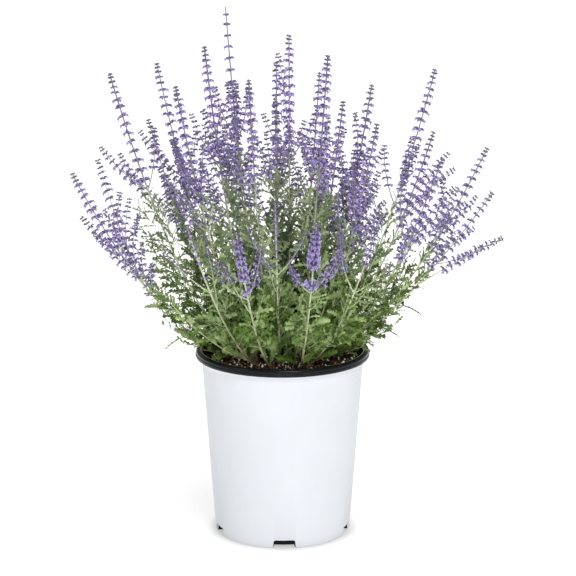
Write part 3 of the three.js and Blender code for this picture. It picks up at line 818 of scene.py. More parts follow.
def plantStem(row, owner):
    # the foot stands on the ray of the tip, and the bend hangs below the straight line between them
    tipX, tipY, tipZ, sag, turn = row
    shape = plantShape
    for tries in range(tryShape["stemTimes"]):
        swing = math.ceil(tries / 2) * (1 if tries % 2 else -1)
        angle = math.atan2(tipY, tipX) + (turn + swing * tryShape["stemTurn"]) * math.pi / 180
        apart = shape["footRadius"] + shape["footSpread"] * math.sqrt(tipX * tipX + tipY * tipY)
        height = soilShape["level"] + shape["footRise"]
        foot = np.array([apart * math.cos(angle), apart * math.sin(angle), height])
        tip = np.array([tipX, tipY + swing * tryShape["stemAside"], tipZ])
        curve = newArc(foot, (foot + tip) * 0.5 - upward * sag, tip)
        whorls = whorlsAlong(curve["length"], curve["length"] * (1 - shape["spikeShare"]), shape["stemWhorl"])
        steps = np.arange(0.0, curve["length"], tryShape["stemStep"])
        places, radii = ballsAlong(curve, steps, tryShape["stemBall"], whorls)
        cores = np.arange(len(radii)) < len(steps)
        if fitsIn(places, radii, owner, np.zeros(len(radii), dtype=bool), False, shape["room"]):
            keepBalls(places, radii, owner, cores)
            flat = unit([tip[0] - foot[0], tip[1] - foot[1], 0.0])
            return {"owner": owner, "curve": curve, "whorls": whorls, "foot": foot,
                    "sides": [], "extraSides": [], "leaves": [],
                    "side": np.cross(upward, flat), "turn": next(draws) * math.pi}
    return None


def faceAt(stem, s, i):
    # at distance s, face i of the square stem looks along out, and right is its right-hand side
    p, d = walk(stem["curve"], np.float64(s))
    ahead = np.cross(d, stem["side"])
    out = ray(stem["side"], ahead, stem["turn"] + (i + 1) * math.pi / 2)
    right = ray(stem["side"], ahead, stem["turn"] + (i + 2) * math.pi / 2)
    return p, d, out, right


def startAt(stem, s, i):
    # a side part starts just outside the stem's core, on face i at distance s
    p, d, out, right = faceAt(stem, s, i)
    return p + out * plantShape["rootDepth"], d, out, right


def addSide(stem, s, curve, right, room, into):
    # a side spike joins the stem's list if it has whorls and fits in
    whorls = whorlsAlong(curve["length"], curve["length"] * plantShape["sideBare"], plantShape["sideWhorl"])
    if not whorls:
        return False
    steps = np.arange(tryShape["sideFirst"], curve["length"], tryShape["sideStep"])
    places, radii = ballsAlong(curve, steps, tryShape["sideBall"], whorls)
    strict = np.arange(len(radii)) >= len(steps)
    if not fitsIn(places, radii, stem["owner"], strict, True, room):
        return False
    keepBalls(places, radii, stem["owner"], False)
    stem[into].append({"s": s, "curve": curve, "right": right})
    return True


def trySide(stem, s, i, reach, lean, room, into):
    # a side spike is tried shorter and turned further out before it is left out
    start, d, out, right = startAt(stem, s, i)
    for tries in range(tryShape["sideTimes"]):
        angle = lean + tryShape["sideWider"] * (tries % 3)
        long = reach * (1 - tryShape["sideShorter"] * tries)
        bend = start + ray(d, out, angle) * long * 0.5
        curve = newArc(start, bend, start + ray(d, out, angle * tryShape["sideEndAngle"]) * long)
        if addSide(stem, s, curve, right, room, into):
            return


def growSides(stem):
    # a pair of side spikes under the lowest whorl, and a single one at the next node
    first = stem["curve"]["length"] * (1 - plantShape["spikeShare"]) - tryShape["sideBelow"]
    for j in range(plantShape["sideNodes"]):
        for i in ([0, 2] if j == 0 else [1 + 2 * (stem["owner"] % 2)]):
            reach = plantShape["sideReach"] + plantShape["sideReachSpread"] * next(draws)
            place = first - j * plantShape["sideNodeGap"]
            trySide(stem, place, i, reach, plantShape["sideAngle"], plantShape["room"], "sides")


def growBranch(row):
    # from the face that looks most towards the branch's own tip
    stem = stems[row[0]]
    s = stem["curve"]["length"] * row[1]
    end = np.array(row[2:], dtype=float)
    aim = end - walk(stem["curve"], np.float64(s))[0]
    start, d, out, right = max((startAt(stem, s, i) for i in range(4)), key=lambda face: face[2] @ aim)
    bend = (start + end) * 0.5 + d * math.sqrt(aim @ aim) * tryShape["branchBend"]
    addSide(stem, s, newArc(start, bend, end), right, plantShape["room"], "sides")


def addLeaf(stem, s, i, reach):
    # a leaf rises from face i and sags to its tip, tried steeper and shorter before it is left out
    shape = plantShape
    start, d, out, right = startAt(stem, s, i)
    shares = np.array(tryShape["leafShares"])
    low, high = tryShape["leafFull"]
    for tries in range(tryShape["leafTimes"]):
        lead = ray(out, d, shape["leafRise"] + tryShape["leafSteeper"] * (tries % 3))
        long = reach * (1 - tryShape["leafShorter"] * tries)
        end = start + lead * long * tryShape["leafEnd"] - upward * long * shape["leafSag"]
        curve = newArc(start, start + lead * long * 0.5, end)
        half = shape["leafHalf"] * min(1.0, long / shape["fullLeaf"])
        radii = np.where((shares < low) | (shares > high), half * tryShape["leafBall"], half)
        places = walk(curve, curve["length"] * shares)[0]
        if fitsIn(places, radii, stem["owner"], np.zeros(len(shares), dtype=bool), True, shape["room"]):
            keepBalls(places, radii, stem["owner"], False)
            stem["leaves"].append({"curve": curve, "half": half, "right": right})
            return


def growLeaves(stem):
    # pairs of large leaves from the foot up to the cut, smaller with height, crosswise from pair to pair
    shape = plantShape
    least, more = shape["leafSize"]
    for j in range(shape["leafNodes"]):
        s = shape["leafNodeStart"] + j * shape["leafNodeGap"]
        if s > stem["cut"] - shape["leafNodeHeight"]:
            break
        reach = shape["leafReach"] * mix(1, shape["leafShrink"], s / shape["leafShrinkBy"])
        for i in (j % 2, j % 2 + 2):
            addLeaf(stem, s, i, reach * (least + more * next(draws)))


stems = [plantStem(row, k) for k, row in enumerate(stemRows)]
for row in branchRows:
    growBranch(row)
for stem in stems:
    growSides(stem)
for stem in stems:
    lowest = min([stem["whorls"][0][0]] + [side["s"] for side in stem["sides"]])
    stem["cut"] = lowest - plantShape["cutRoom"]
for stem in stems:
    growLeaves(stem)
print("skeleton ready:", sum(len(stem["sides"]) for stem in stems), "side spikes,",
      sum(len(stem["leaves"]) for stem in stems), "large leaves")


# Stalks: a square section with soft corners carried along an arc

stalkShape = {
    "rowGap": 6.0,         # between rings along a stem
    "corner": 1.3,         # a corner's distance, in halves of the square's width
    "face": 0.96,
    "nodeSwell": 0.3,      # a stem is this much thicker where leaves leave it
    "stemScale": 0.6,      # stalks are finer than the solids' by this much
    "spikeScale": 0.76,    # among the flowers
    "sideScale": 0.42,
    "swellWidth": 2.2,     # how far the bell at a node reaches
    "changeOver": 30.0,    # distance above the cut over which one scale turns into the other
    "sideRowGap": 9.0, "sideRows": 5, "sideTip": 0.5,    # a side stalk: ring gap, least rings, finer tip
}


def layStalk(skin, centres, rights, aheads, halves, turn, slot, tone, sides=8):
    # points of a ring: centre + (right cos a + ahead sin a) half, every second one of eight a corner
    corner = (np.arange(sides) % 2 == 1) & (sides == 8)
    reach = np.where(corner, stalkShape["corner"], stalkShape["face"])
    across = rays(rights[:, None], aheads[:, None], turn + evenTurns(sides))
    rings = centres[:, None] + across * (halves[:, None] * reach[None])[..., None]
    points = np.concatenate([rings.reshape(-1, 3), centres[:1], centres[-1:]])
    laySkin(skin, len(centres), sides, points, slot, slot, tone, 0.5)


def stemFrames(stem, s):
    # places on a stem, its direction there, its level side and the direction square to both
    p, d = walk(stem["curve"], s)
    side = np.broadcast_to(stem["side"], p.shape)
    return p, d, side, np.cross(d, side)


def stemHalves(stem, s, nodes):
    # thinner towards the tip, and swollen in a bell round each node of leaves
    taper = mix(plantShape["stemHalf"], plantShape["tipHalf"], s / stem["curve"]["length"])
    apart = s[:, None] - np.asarray(nodes, dtype=float)[None]
    swell = np.exp(-(apart / stalkShape["swellWidth"]) ** 2).sum(1)
    above = np.clip((s - stem["cut"]) / stalkShape["changeOver"], 0, 1)
    finer = mix(stalkShape["stemScale"], stalkShape["spikeScale"], above)
    return taper * finer * (1 + stalkShape["nodeSwell"] * np.minimum(swell, 1.0))


def sideFrames(curve, right, s):
    # right stays square to the arc's direction
    p, d = walk(curve, s)
    level = unit(right - d * (d @ right)[:, None])
    return p, d, level, np.cross(d, level)


def laySideStalk(skin, curve, right, slot, tone, scale=1.0, sides=8):
    # a stalk along a side arc, thinner to its tip
    shape = stalkShape
    length = curve["length"]
    s = np.linspace(0.0, length, max(shape["sideRows"], int(length / shape["sideRowGap"])))
    p, d, level, ahead = sideFrames(curve, right, s)
    halves = mix(plantShape["sideHalf"], plantShape["sideTipHalf"] * shape["sideTip"], s / length)
    layStalk(skin, p, level, ahead, halves * shape["sideScale"] * scale, math.pi / 4, slot, tone, sides)


# Leaves: a thin closed blade, wide and narrow by turns, so that its edges are cut into lobes

bladeShape = {
    "thickness": 0.62,      # at the rib near the base
    "thinning": 0.55,       # share of it that is gone at the tip
    "fold": 0.3,            # how far the edges rise over the rib, against the half width
    "foldAstray": 0.35, "widths": (0.8, 0.4),
    "kindLengths": (14.0, 27.0),    # shorter leaves than these have fewer lobes
    "faceUp": 0.6, "faceOut": 1.0, "faceAstray": 0.9,
    # share of the length, share of the half width, forward sweep of the edge
    "large": [(0.03, 0.09, 0.0), (0.12, 0.15, 0.0), (0.2, 0.68, 0.07), (0.27, 0.26, 0.0),
              (0.345, 0.98, 0.09), (0.415, 0.33, 0.0), (0.49, 1.06, 0.095), (0.56, 0.35, 0.0),
              (0.63, 0.98, 0.095), (0.7, 0.32, 0.0), (0.765, 0.82, 0.085), (0.83, 0.28, 0.0),
              (0.885, 0.54, 0.07), (0.95, 0.2, 0.0)],
    "small": [(0.04, 0.12, 0.0), (0.22, 0.76, 0.1), (0.34, 0.26, 0.0), (0.5, 1.06, 0.12),
              (0.62, 0.29, 0.0), (0.77, 0.84, 0.11), (0.9, 0.26, 0.0)],
    "tiny": [(0.05, 0.16, 0.0), (0.34, 0.9, 0.08), (0.5, 0.28, 0.0), (0.7, 1.0, 0.1), (0.9, 0.34, 0.0)],
}


def layBlades(skin, rng, starts, bends, ends, rights, halves, kind, slot):
    # many leaves as one array: each ring of a leaf has its right edge, rib, left edge and underside
    outline = np.array(bladeShape[kind])
    count, rows = len(starts), len(outline)
    t = outline[:, 0][None, :, None]
    p = arcRows(starts, bends, ends, outline[:, 0])
    d = unit((bends - starts)[:, None] * (1 - t) + (ends - bends)[:, None] * t)
    long = np.sqrt(((ends - starts) ** 2).sum(-1))
    right = unit(rights[:, None] - d * (d * rights[:, None]).sum(-1, keepdims=True))
    above = np.cross(d, right)
    grid = (count, rows, 2)
    wide = (halves[:, None] * outline[:, 1][None])[..., None] * drawn(rng, bladeShape["widths"], grid)
    lift = wide * (bladeShape["fold"] + astray(rng, bladeShape["foldAstray"], grid))
    sweep = d * (outline[:, 2][None] * long[:, None])[..., None]
    rightEdge = p + sweep + right * wide[..., :1] + above * lift[..., :1]
    leftEdge = p + sweep - right * wide[..., 1:] + above * lift[..., 1:]
    thick = (bladeShape["thickness"] * (1 - bladeShape["thinning"] * outline[:, 0]) / 2)[None, :, None]
    rings = np.stack([rightEdge, p + above * thick, leftEdge, p - above * thick], 2)
    points = np.concatenate([rings.reshape(count, rows * 4, 3), starts[:, None], ends[:, None]], 1)
    ribs = np.concatenate([np.tile([0.0, 1.0, 0.0, 1.0], rows), [1.0, 0.6]])
    laySkin(skin, rows, 4, points, slot, slot, np.repeat(rng.random(count), len(ribs)), np.tile(ribs, count))


def leafCourse(starts, lead, long, bend, end, sag):
    # bends and ends of leaves: two shares of their length along their lead, the ends lower by their sag
    return (starts + lead * (long * bend)[:, None],
            starts + lead * (long * end)[:, None] - upward * sag[:, None])


def layLeaves(skin, rng, starts, bends, ends, rights, halves, kept, long, limits, slot):
    # the leaves that are kept, each with the outline for its length: tiny, small or large
    sizes = np.digitize(long, limits)
    for k, kind in enumerate(("tiny", "small", "large")):
        chosen = kept & (sizes == k)
        if chosen.any():
            layBlades(skin, rng, starts[chosen], bends[chosen], ends[chosen], rights[chosen],
                      halves[chosen], kind, slot)


# Florets: rings along a tube that leaves the stalk, arches over and droops

floretShape = {
    # distance out, height, radius of each ring; the pole closes the tube
    "tiny": [(0.4, 0.2, 0.8), (2.6, 0.9, 1.9), (4.7, 0.5, 1.5)],
    "tinyPole": (5.9, -0.2),
    "bud": [(0.4, 0.2, 0.6), (2.0, 1.0, 1.45), (3.9, 0.7, 1.55), (5.4, -0.5, 1.1)],
    "budPole": (6.2, -1.5),
    "open": [(0.4, 0.2, 0.6), (2.0, 0.9, 1.55), (3.8, 0.7, 1.55), (5.3, 0.1, 1.0), (6.7, -0.3, 2.1)],
    "openPole": (5.6, 0.05),
    # how far along each ring is, for the colours
    "tinyShares": [0.0, 0.25, 0.45], "budShares": [0.0, 0.3, 0.7, 1.0],
    "openShares": [0.0, 0.3, 0.75, 0.5, 1.0],
    # how far the lips reach, from one side over the top: two lobes above and a long lip below
    "lips": [1.3, 0.42, 1.3, 0.5, 1.75, 0.5],
    "lipForward": [-0.4, 0.3, -0.4, 0.1, 1.1, 0.1],
    "openTurn": math.pi / 6,
    "rootBack": 0.4,        # the tube's closed start is this much nearer the stalk than its first ring
    "calyxRings": 3,
    "sides": {"tiny": 4, "bud": 5, "open": 6},
}


def floretForm(kind):
    # ring point = centre + side r cos a + (square to the path) r sin a, as x out, y aside, z up
    sides = floretShape["sides"][kind]
    rows = np.array(floretShape[kind])
    pole = np.array(floretShape[kind + "Pole"])
    along = np.array(floretShape[kind + "Shares"])
    petal = kind == "open"
    beyond = rows[-1:, :2] * 2 - rows[-2:-1, :2] if petal else pole[None]
    path = unit(np.concatenate([rows[1:, :2], beyond]) - rows[:, :2])
    a = evenTurns(sides) + floretShape["openTurn"] * petal
    reach = np.repeat(rows[:, 2][:, None], sides, 1)
    push = np.zeros_like(reach)
    if petal:
        reach[-1] *= floretShape["lips"]
        push[-1] = floretShape["lipForward"]
    rise = reach * np.sin(a)
    x = rows[:, 0][:, None] - path[:, 1][:, None] * rise + path[:, 0][:, None] * push
    z = rows[:, 1][:, None] + path[:, 0][:, None] * rise + path[:, 1][:, None] * push
    rings = np.stack([x, reach * np.cos(a), z], -1).reshape(-1, 3)
    ends = np.array([[rows[0, 0] - floretShape["rootBack"], 0.0, rows[0, 1]], [pole[0], 0.0, pole[1]]])
    beyondCalyx = np.arange(len(rows) - 1) >= floretShape["calyxRings"] - 1
    return {"rings": (len(rows), sides), "points": np.concatenate([rings, ends]),
            "quadSlots": np.repeat((beyondCalyx & petal).astype(int), sides),
            "triSlots": np.repeat([0, int(petal)], sides),
            "along": np.concatenate([np.repeat(along, sides), [0.0, 0.0 if petal else along[-1]]])}


floretForms = {kind: floretForm(kind) for kind in ("tiny", "bud", "open")}


def layFlorets(skin, rng, form, places, outs, ups, scales, pale):
    # each floret = its place + (x out + y aside + z up) times its scale
    asides = np.cross(ups, outs)
    local = form["points"][None, :, :, None]
    shape = local[:, :, 0] * outs[:, None] + local[:, :, 1] * asides[:, None] + local[:, :, 2] * ups[:, None]
    count = len(places)
    tones = np.repeat(drawn(rng, (pale, 1 - pale), count), len(form["points"]))
    laySkin(skin, *form["rings"], places[:, None] + shape * scales[:, None, None],
            np.tile(form["quadSlots"], count), np.tile(form["triSlots"], count), tones,
            np.tile(form["along"], count))


# Whorls: rings of florets up a spike, closer and smaller to its tip

whorlShape = {
    "sideBare": 2.4, "sidePitch": 10.2, "sideTip": 4.0,
    "most": 200,            # whorls worked out before those past the spike's start are dropped
    "loosening": 0.03,      # below the first few, each whorl stands this much further from the next one down
    "looseFrom": 8,
    "moreBelow": 24.0,      # stems that get more side spikes have whorls this much further down
    "shrinking": 7, "shrinkPower": 0.8,    # whorls over which pitch and size fall off to the tip, and how
    "sideCount": 4, "sideStart": 0.2,
    "turnAstray": 0.5, "climb": 0.1, "climbAstray": 0.5, "alongAstray": 2.2, "sink": 0.5,
    "sizes": (0.85, 0.3),
    "openFrom": 1.25, "openLess": 0.3,     # the share that is open falls to none at the tip
    "tinyBelow": 0.4,       # buds near the tip, under this share of full size, have the tiny form
    "slope": 0.236,         # no florets under a plane that rises to the front: the height of it at the axis
    "astray": 10.0,         # is each kind's low, and a whorl may be off by this much
    # small leaves stand where the florets are left out: length, climb along the stalk, bend, sag, half width
    "bractLength": 11.0, "bractLengths": (0.7, 0.6), "bractClimb": (0.3, 0.6), "bractBend": 0.55,
    "bractSag": 0.15, "bractHalf": 0.15,
}
# How a stem flowers: bare tip, whorl pitch and size at the tip, pitch below, florets round a whorl, their
# size, share that is open, how pale they are, size on the side spikes, whether more side spikes are added,
# the height under which florets are left out, share of the whorls above it that is missing
usualKind = {"bare": 2.4, "tip": 3.9, "tipScale": 0.54, "pitch": 11.2, "count": 5, "scale": 1.02,
             "open": 0.62, "pale": 0.3, "sides": 0.97, "more": True, "low": 326.0, "missing": 0.0}
# the tall spike's higher pale is painted light, lifting florets that lie in shade inside it
tallKind = dict(usualKind, bare=10.0, tip=12.0, tipScale=0.72, pitch=16.5, scale=1.1, open=0.8, pale=0.5)
livelyKind = dict(usualKind, pitch=10.6, count=6, open=0.85, pale=0.4)
duskyKind = dict(usualKind, open=0.4, pale=0.15)
plainKind = dict(usualKind, more=False)
brightKind = dict(usualKind, pitch=9.8, count=8, scale=0.86, open=0.97, pale=0.55, sides=1.0, more=False,
                  low=313.0, missing=0.08)
fadedKind = dict(usualKind, pitch=11.0, scale=0.56, open=0.12, sides=0.46, more=False)
loneKind = dict(livelyKind, more=False)
paleKind = dict(loneKind, pale=0.6)
spikeKinds = {
    0: plainKind, 2: livelyKind, 3: livelyKind, 4: tallKind, 5: loneKind, 6: dict(duskyKind, more=False),
    7: loneKind, 8: paleKind, 10: paleKind, 12: livelyKind, 13: plainKind, 14: loneKind, 15: loneKind,
    16: plainKind, 17: plainKind, 18: duskyKind, 19: dict(loneKind, low=306.0),
    20: dict(brightKind, pitch=10.4, scale=1.12, sides=1.08, low=306.0), 21: brightKind,
    22: fadedKind, 23: fadedKind, 24: dict(plainKind, scale=0.84, sides=0.76), 25: duskyKind,
    26: plainKind, 27: duskyKind,
}


def whorlPlaces(length, start, bare, tip, pitch):
    # distances from the tip down, and each whorl's share of full size
    k = np.arange(whorlShape["most"])
    share = np.minimum(1.0, (k / whorlShape["shrinking"]) ** whorlShape["shrinkPower"])
    looser = whorlShape["loosening"] * np.maximum(0, k - whorlShape["looseFrom"])
    steps = mix(tip, pitch, share) * (1 + looser)
    s = length - bare - np.concatenate([[0.0], np.cumsum(steps)[:-1]])
    return s[s > start], share[s > start]


def layWhorls(skin, rng, share, frames, halves, count, scale, kind):
    # florets stand round each whorl at even angles, a little astray, some of them open
    p, d, right, ahead = (part[:, None] for part in frames)
    shape = whorlShape
    grid = (len(share), count)
    offset = (np.arange(len(share)) % 2)[:, None] * math.pi / count
    a = evenTurns(count)[None] + offset + astray(rng, shape["turnAstray"], grid)
    out = rays(right, ahead, a)
    out = unit(out + d * (shape["climb"] + astray(rng, shape["climbAstray"], (*grid, 1))))
    lift = unit(d - out * (d * out).sum(-1, keepdims=True))
    shift = d * astray(rng, shape["alongAstray"], (*grid, 1))
    places = p + out * (halves[:, None, None] * shape["sink"]) + shift * share[:, None, None]
    sizes = mix(kind["tipScale"], scale, share)[:, None] * drawn(rng, shape["sizes"], grid)
    likely = kind["open"] * np.clip(share * shape["openFrom"] - shape["openLess"], 0, 1)
    isOpen = rng.random(grid) < likely[:, None]
    isTiny = (share < shape["tinyBelow"])[:, None] & ~isOpen
    for form, chosen in (("tiny", isTiny), ("bud", ~isOpen & ~isTiny), ("open", isOpen)):
        if chosen.any():
            layFlorets(skin, rng, floretForms[form], places[chosen], out[chosen], lift[chosen],
                       sizes[chosen], kind["pale"])


def flowersAt(rng, p, kind):
    # true above the slanting plane, give or take
    level = p[:, 2] + whorlShape["slope"] * p[:, 1]
    return level > kind["low"] + astray(rng, 2 * whorlShape["astray"], len(p))


def layBracts(skin, rng, frames, slot):
    # a pair of small leaves at each place, a quarter turn from one pair to the next
    p, d, right, ahead = (np.repeat(part, 2, 0) for part in frames)
    out = rays(right, ahead, pairTurns(len(p)))
    lead = unit(out + d * drawn(rng, whorlShape["bractClimb"], (len(p), 1)))
    long = whorlShape["bractLength"] * drawn(rng, whorlShape["bractLengths"], len(p))
    bends, ends = leafCourse(p, lead, long, whorlShape["bractBend"], 1.0, long * whorlShape["bractSag"])
    layBlades(skin, rng, p, bends, ends, np.cross(d, out), long * whorlShape["bractHalf"], "tiny", slot)


def laySideSpike(skin, rng, side, kind):
    # a side spike's stalk with whorls above the slanting plane and bracts below it
    shape = whorlShape
    length = side["curve"]["length"]
    s, share = whorlPlaces(length, length * shape["sideStart"], shape["sideBare"], shape["sideTip"],
                           shape["sidePitch"])
    frames = sideFrames(side["curve"], side["right"], s)
    high = flowersAt(rng, frames[0], kind)
    laySideStalk(skin, side["curve"], side["right"], 2, rng.random())
    if (~high).any():
        layBracts(skin, rng, [part[~high] for part in frames], 3)
    if high.any():
        layWhorls(skin, rng, share[high], [part[high] for part in frames], np.ones(high.sum()),
                  shape["sideCount"], kind["sides"], kind)


# More side spikes, leaves and leafy shoots than the solids have, placed by the same rule

sideExtras = {
    "above": 10.0, "gap": 18.0, "bareFoot": 4.0,        # rows of side spikes from the highest side node down
    "outBounds": (90.0, 180.0), "rowCounts": (2, 3, 2),    # by how far out the stem ends
    "reachTop": 54.0, "reachLow": 74.0, "reachRows": 3, "reaches": (0.8, 0.4), "lean": 0.42, "room": -1.5,
    "lowPlaces": (8.0, 38.0), "lowReach": 62.0, "lowReaches": (0.75, 0.5), "lowLean": 0.62,
    "companionBend": 0.5,
}
# Side spikes that leave their stem along it: stem, share of its length, tip x, y, z
companions = [
    (7, 0.6, -6, 2, 600), (3, 0.7, -54, -40, 560), (11, 0.64, 88, 5, 527), (11, 0.46, 106, 0, 446),
    (10, 0.5, 94, 28, 440), (12, 0.42, 124, -60, 430), (12, 0.54, 110, -66, 456), (11, 0.56, 90, 12, 480),
    (10, 0.42, 88, 44, 420), (16, 0.5, 196, 20, 446),
    (14, 0.6, 210, 104, 460), (14, 0.54, 218, 100, 440), (15, 0.56, 222, -52, 426), (15, 0.52, 206, -56, 446),
    (19, 0.5, -196, -30, 436), (19, 0.42, -172, -44, 412), (19, 0.46, -186, -8, 424),
    (19, 0.36, -170, -30, 374), (19, 0.32, -156, -52, 352),
]
leafExtras = {
    # far left, middle, right and far right by where the stem ends: x of the bounds, then what differs
    "bounds": (-100.0, 40.0, 150.0), "leafGaps": (10.0, 10.0, 10.0, 12.0),
    "shootGaps": (9.5, 16.0, 9.0, 26.0), "shootReaches": (34.0, 29.0, 29.0, 29.0),
    "leftCrowd": 1.65,       # the left's shoots stand closer at the stem's foot
    # where leaves and shoots start above the foot and stop below the cut, and leaves among the flowers
    "leafEnds": (5.0, 3.0), "shootEnds": (20.0, 6.0), "highLeafFrom": 4.0, "highLeafGap": 13.0,
    "highLeafScale": 0.75,
    # pairs of leaves on a stem: lengths and half widths at its foot and its cut, and how much they vary
    "leafBottom": 36.0, "leafTop": 20.0, "leafPower": 0.8, "lengths": (0.75, 0.4),
    "wideBelow": 0.21, "wideAbove": 0.12, "halves": (0.85, 0.3),
    "placeAstray": 1.5, "turnAstray": 0.7, "rises": (0.35, 0.75), "root": 1.0,
    "bend": 0.52, "end": 0.93, "sags": (0.14, 0.24),
    # places on a leaf that are tried against the pot and the line of sight
    "tried": (0.5, 0.75, 1.0), "ballMost": 2.5,
    "spreadLow": 118.0, "spreadSlope": 0.8,    # leaves reach this far out at the rim's height, then further
    # leaves keep out of the way between the soil at the front and an eye this far above its level
    "soilView": 236.0, "soilSlope": 0.236, "soilFront": -28.0, "soilSide": 84.0, "overSoil": 0.1,
    "frontLift": 20.0, "liftTried": (0.6, 0.8, 1.0), "liftBend": 0.5, "largeHalf": 0.92,
}
shootExtras = {
    "fullEnough": 0.5,       # a shoot with fewer of its leaves left than this is left out
    "bend": 0.55, "end": 0.95, "ball": 0.19, "riseMore": 0.35,    # its leaves rise more towards its tip
    # short shoots from the leaf axils: their reach, angle to the stem, and leaves in a screw round them
    "leaves": 8, "screw": 2.4, "screwStart": 6.0, "bare": 0.25, "placeAstray": 9.0,
    "reaches": (0.6, 0.8), "angles": (0.5, 0.5), "bendAngle": 1.2, "endAngle": 0.7, "root": 0.9,
    "ballSize": 5.0,
    # long shoots with leaves in pairs
    "pairGap": 11.0, "firstPair": 0.8, "lastPair": 0.995, "turnStart": 3.0, "turnAstray": 0.8,
    # upright ones from beside a stem's foot: how many, height, how far they start and end from its line
    "footCount": 2, "footHigh": 150.0, "footHeights": (0.55, 0.55), "footAstray": 22.0,
    "footLean": (0.2, 0.7), "tipAstray": 46.0, "footBend": 0.45, "footArch": 0.1,
}
# The leaves of a shoot: how steeply they rise, length at its foot and tip, how that varies, sag, half
# width, the length from which they have more lobes; and the size and sides of its stalk
axilShoot = {"rises": (0.5, 0.5), "leaf": (18.0, 13.5), "lengths": (0.6, 0.7), "sag": 0.12,
             "half": 0.155, "lobed": 17.0, "stalk": 0.62, "sides": 4}
footShoot = {"rises": (0.35, 0.5), "leaf": (28.0, 15.0), "lengths": (0.75, 0.5), "sag": 0.1,
             "half": 0.22, "lobed": 15.0, "stalk": 0.8, "sides": 8}
creepingShoot = dict(footShoot, stalk=1.1)
# Low shoots that creep out over the rim or climb beside the plant: start, bend and end, by their stem
creepers = {
    0: [(-46, -18, 236), (-104, -38, 262), (-150, -55, 322)],
    1: [(-40, 30, 228), (-84, 40, 240), (-120, 30, 262)],
    3: [(-44, -8, 224), (-76, -20, 230), (-98, -36, 240)],
    12: [(40, -20, 240), (94, -42, 276), (138, -52, 346)],
    14: [(46, 10, 238), (104, 14, 268), (160, 6, 336)],
    15: [(50, -20, 236), (100, -30, 258), (146, -40, 318)],
    16: [(44, 30, 228), (84, 40, 240), (118, 30, 262)],
    17: [(50, 10, 224), (96, -2, 240), (140, -16, 268)],
    18: [(-40, 20, 238), (-106, 28, 268), (-158, 20, 334)],
    19: [(-40, 0, 224), (-98, -15, 236), (-146, -34, 272)],
    23: [(-50, -60, 236), (-96, -100, 266), (-142, -116, 330)],
    24: [(46, -8, 224), (76, -16, 230), (98, -30, 242)],
}


def growExtraSides(stem, rng):
    # from the highest side node down, pairs of spikes a quarter turn apart from row to row, close to the stem
    shape = sideExtras
    first = stem["curve"]["length"] * (1 - plantShape["spikeShare"]) + shape["above"]
    out = abs(stem["curve"]["end"][0])
    for j in range(shape["rowCounts"][np.searchsorted(shape["outBounds"], out)]):
        s = first - j * shape["gap"]
        if s < stem["cut"] + shape["bareFoot"]:
            break
        for i in (j % 2, j % 2 + 2):
            reach = mix(shape["reachTop"], shape["reachLow"], j / shape["reachRows"])
            reach = reach * drawn(rng, shape["reaches"])
            trySide(stem, s, i, reach, shape["lean"], shape["room"], "extraSides")
    # and a few more from the leafy part, further out
    for j, s in enumerate(stem["cut"] - np.array(shape["lowPlaces"])):
        for i in ((j + 1) % 2, (j + 1) % 2 + 2)[:2 - j]:
            reach = shape["lowReach"] * drawn(rng, shape["lowReaches"])
            trySide(stem, float(s), i, reach, shape["lowLean"], shape["room"], "extraSides")


def growCompanions(stem):
    # each leaves the stem along it and bends to its own tip
    for owner, share, *tip in companions:
        if owner != stem["owner"]:
            continue
        start, d = walk(stem["curve"], np.float64(stem["curve"]["length"] * share))
        bend = start + d * (sideExtras["companionBend"] * math.dist(start, tip))
        stem["extraSides"].append({"curve": newArc(start, bend, tip), "right": stem["side"]})


def clearOfPot(starts, bends, ends, halves):
    # true for leaves whose middle, far part and tip keep off the pot and the soil, and that don't hang far
    # out: the tip's distance from the axis may grow with its height over the rim
    p = arcRows(starts, bends, ends, leafExtras["tried"])
    above = np.maximum(ends[:, 2] - potShape["height"], 0)
    inside = np.hypot(ends[:, 0], ends[:, 1]) < leafExtras["spreadLow"] + leafExtras["spreadSlope"] * above
    return inside & ~hitsPot(p, np.minimum(halves, leafExtras["ballMost"])[:, None]).any(1)


def belowSight(p):
    # how far points lie under the slanting line of sight to the soil at the front
    lack = leafExtras["soilView"] - p[..., 2] - leafExtras["soilSlope"] * p[..., 1]
    front = (p[..., 1] < leafExtras["soilFront"]) & (np.abs(p[..., 0]) < leafExtras["soilSide"])
    return np.where(front, np.maximum(lack, 0.0), 0.0)


def hidesSoil(rng, starts, bends, ends):
    # true for most of the leaves whose outer half would lie over the front of the soil
    p = arcRows(starts, bends, ends, leafExtras["tried"])
    return (belowSight(p) > 0).any(1) & (rng.random(len(ends)) > leafExtras["overSoil"])


def faceOutward(rng, p, lead):
    # a blade's right: square to its length and to a face that looks up and away from the pot's axis
    away = unit(p * np.array([1.0, 1.0, 0.0]) + np.array([0.0, 0.0, 1e-6]))
    face = upward * bladeShape["faceUp"] + away * bladeShape["faceOut"]
    face = face + astray(rng, bladeShape["faceAstray"], p.shape)
    return unit(np.cross(face, lead) + np.array([1e-6, 0.0, 0.0]))


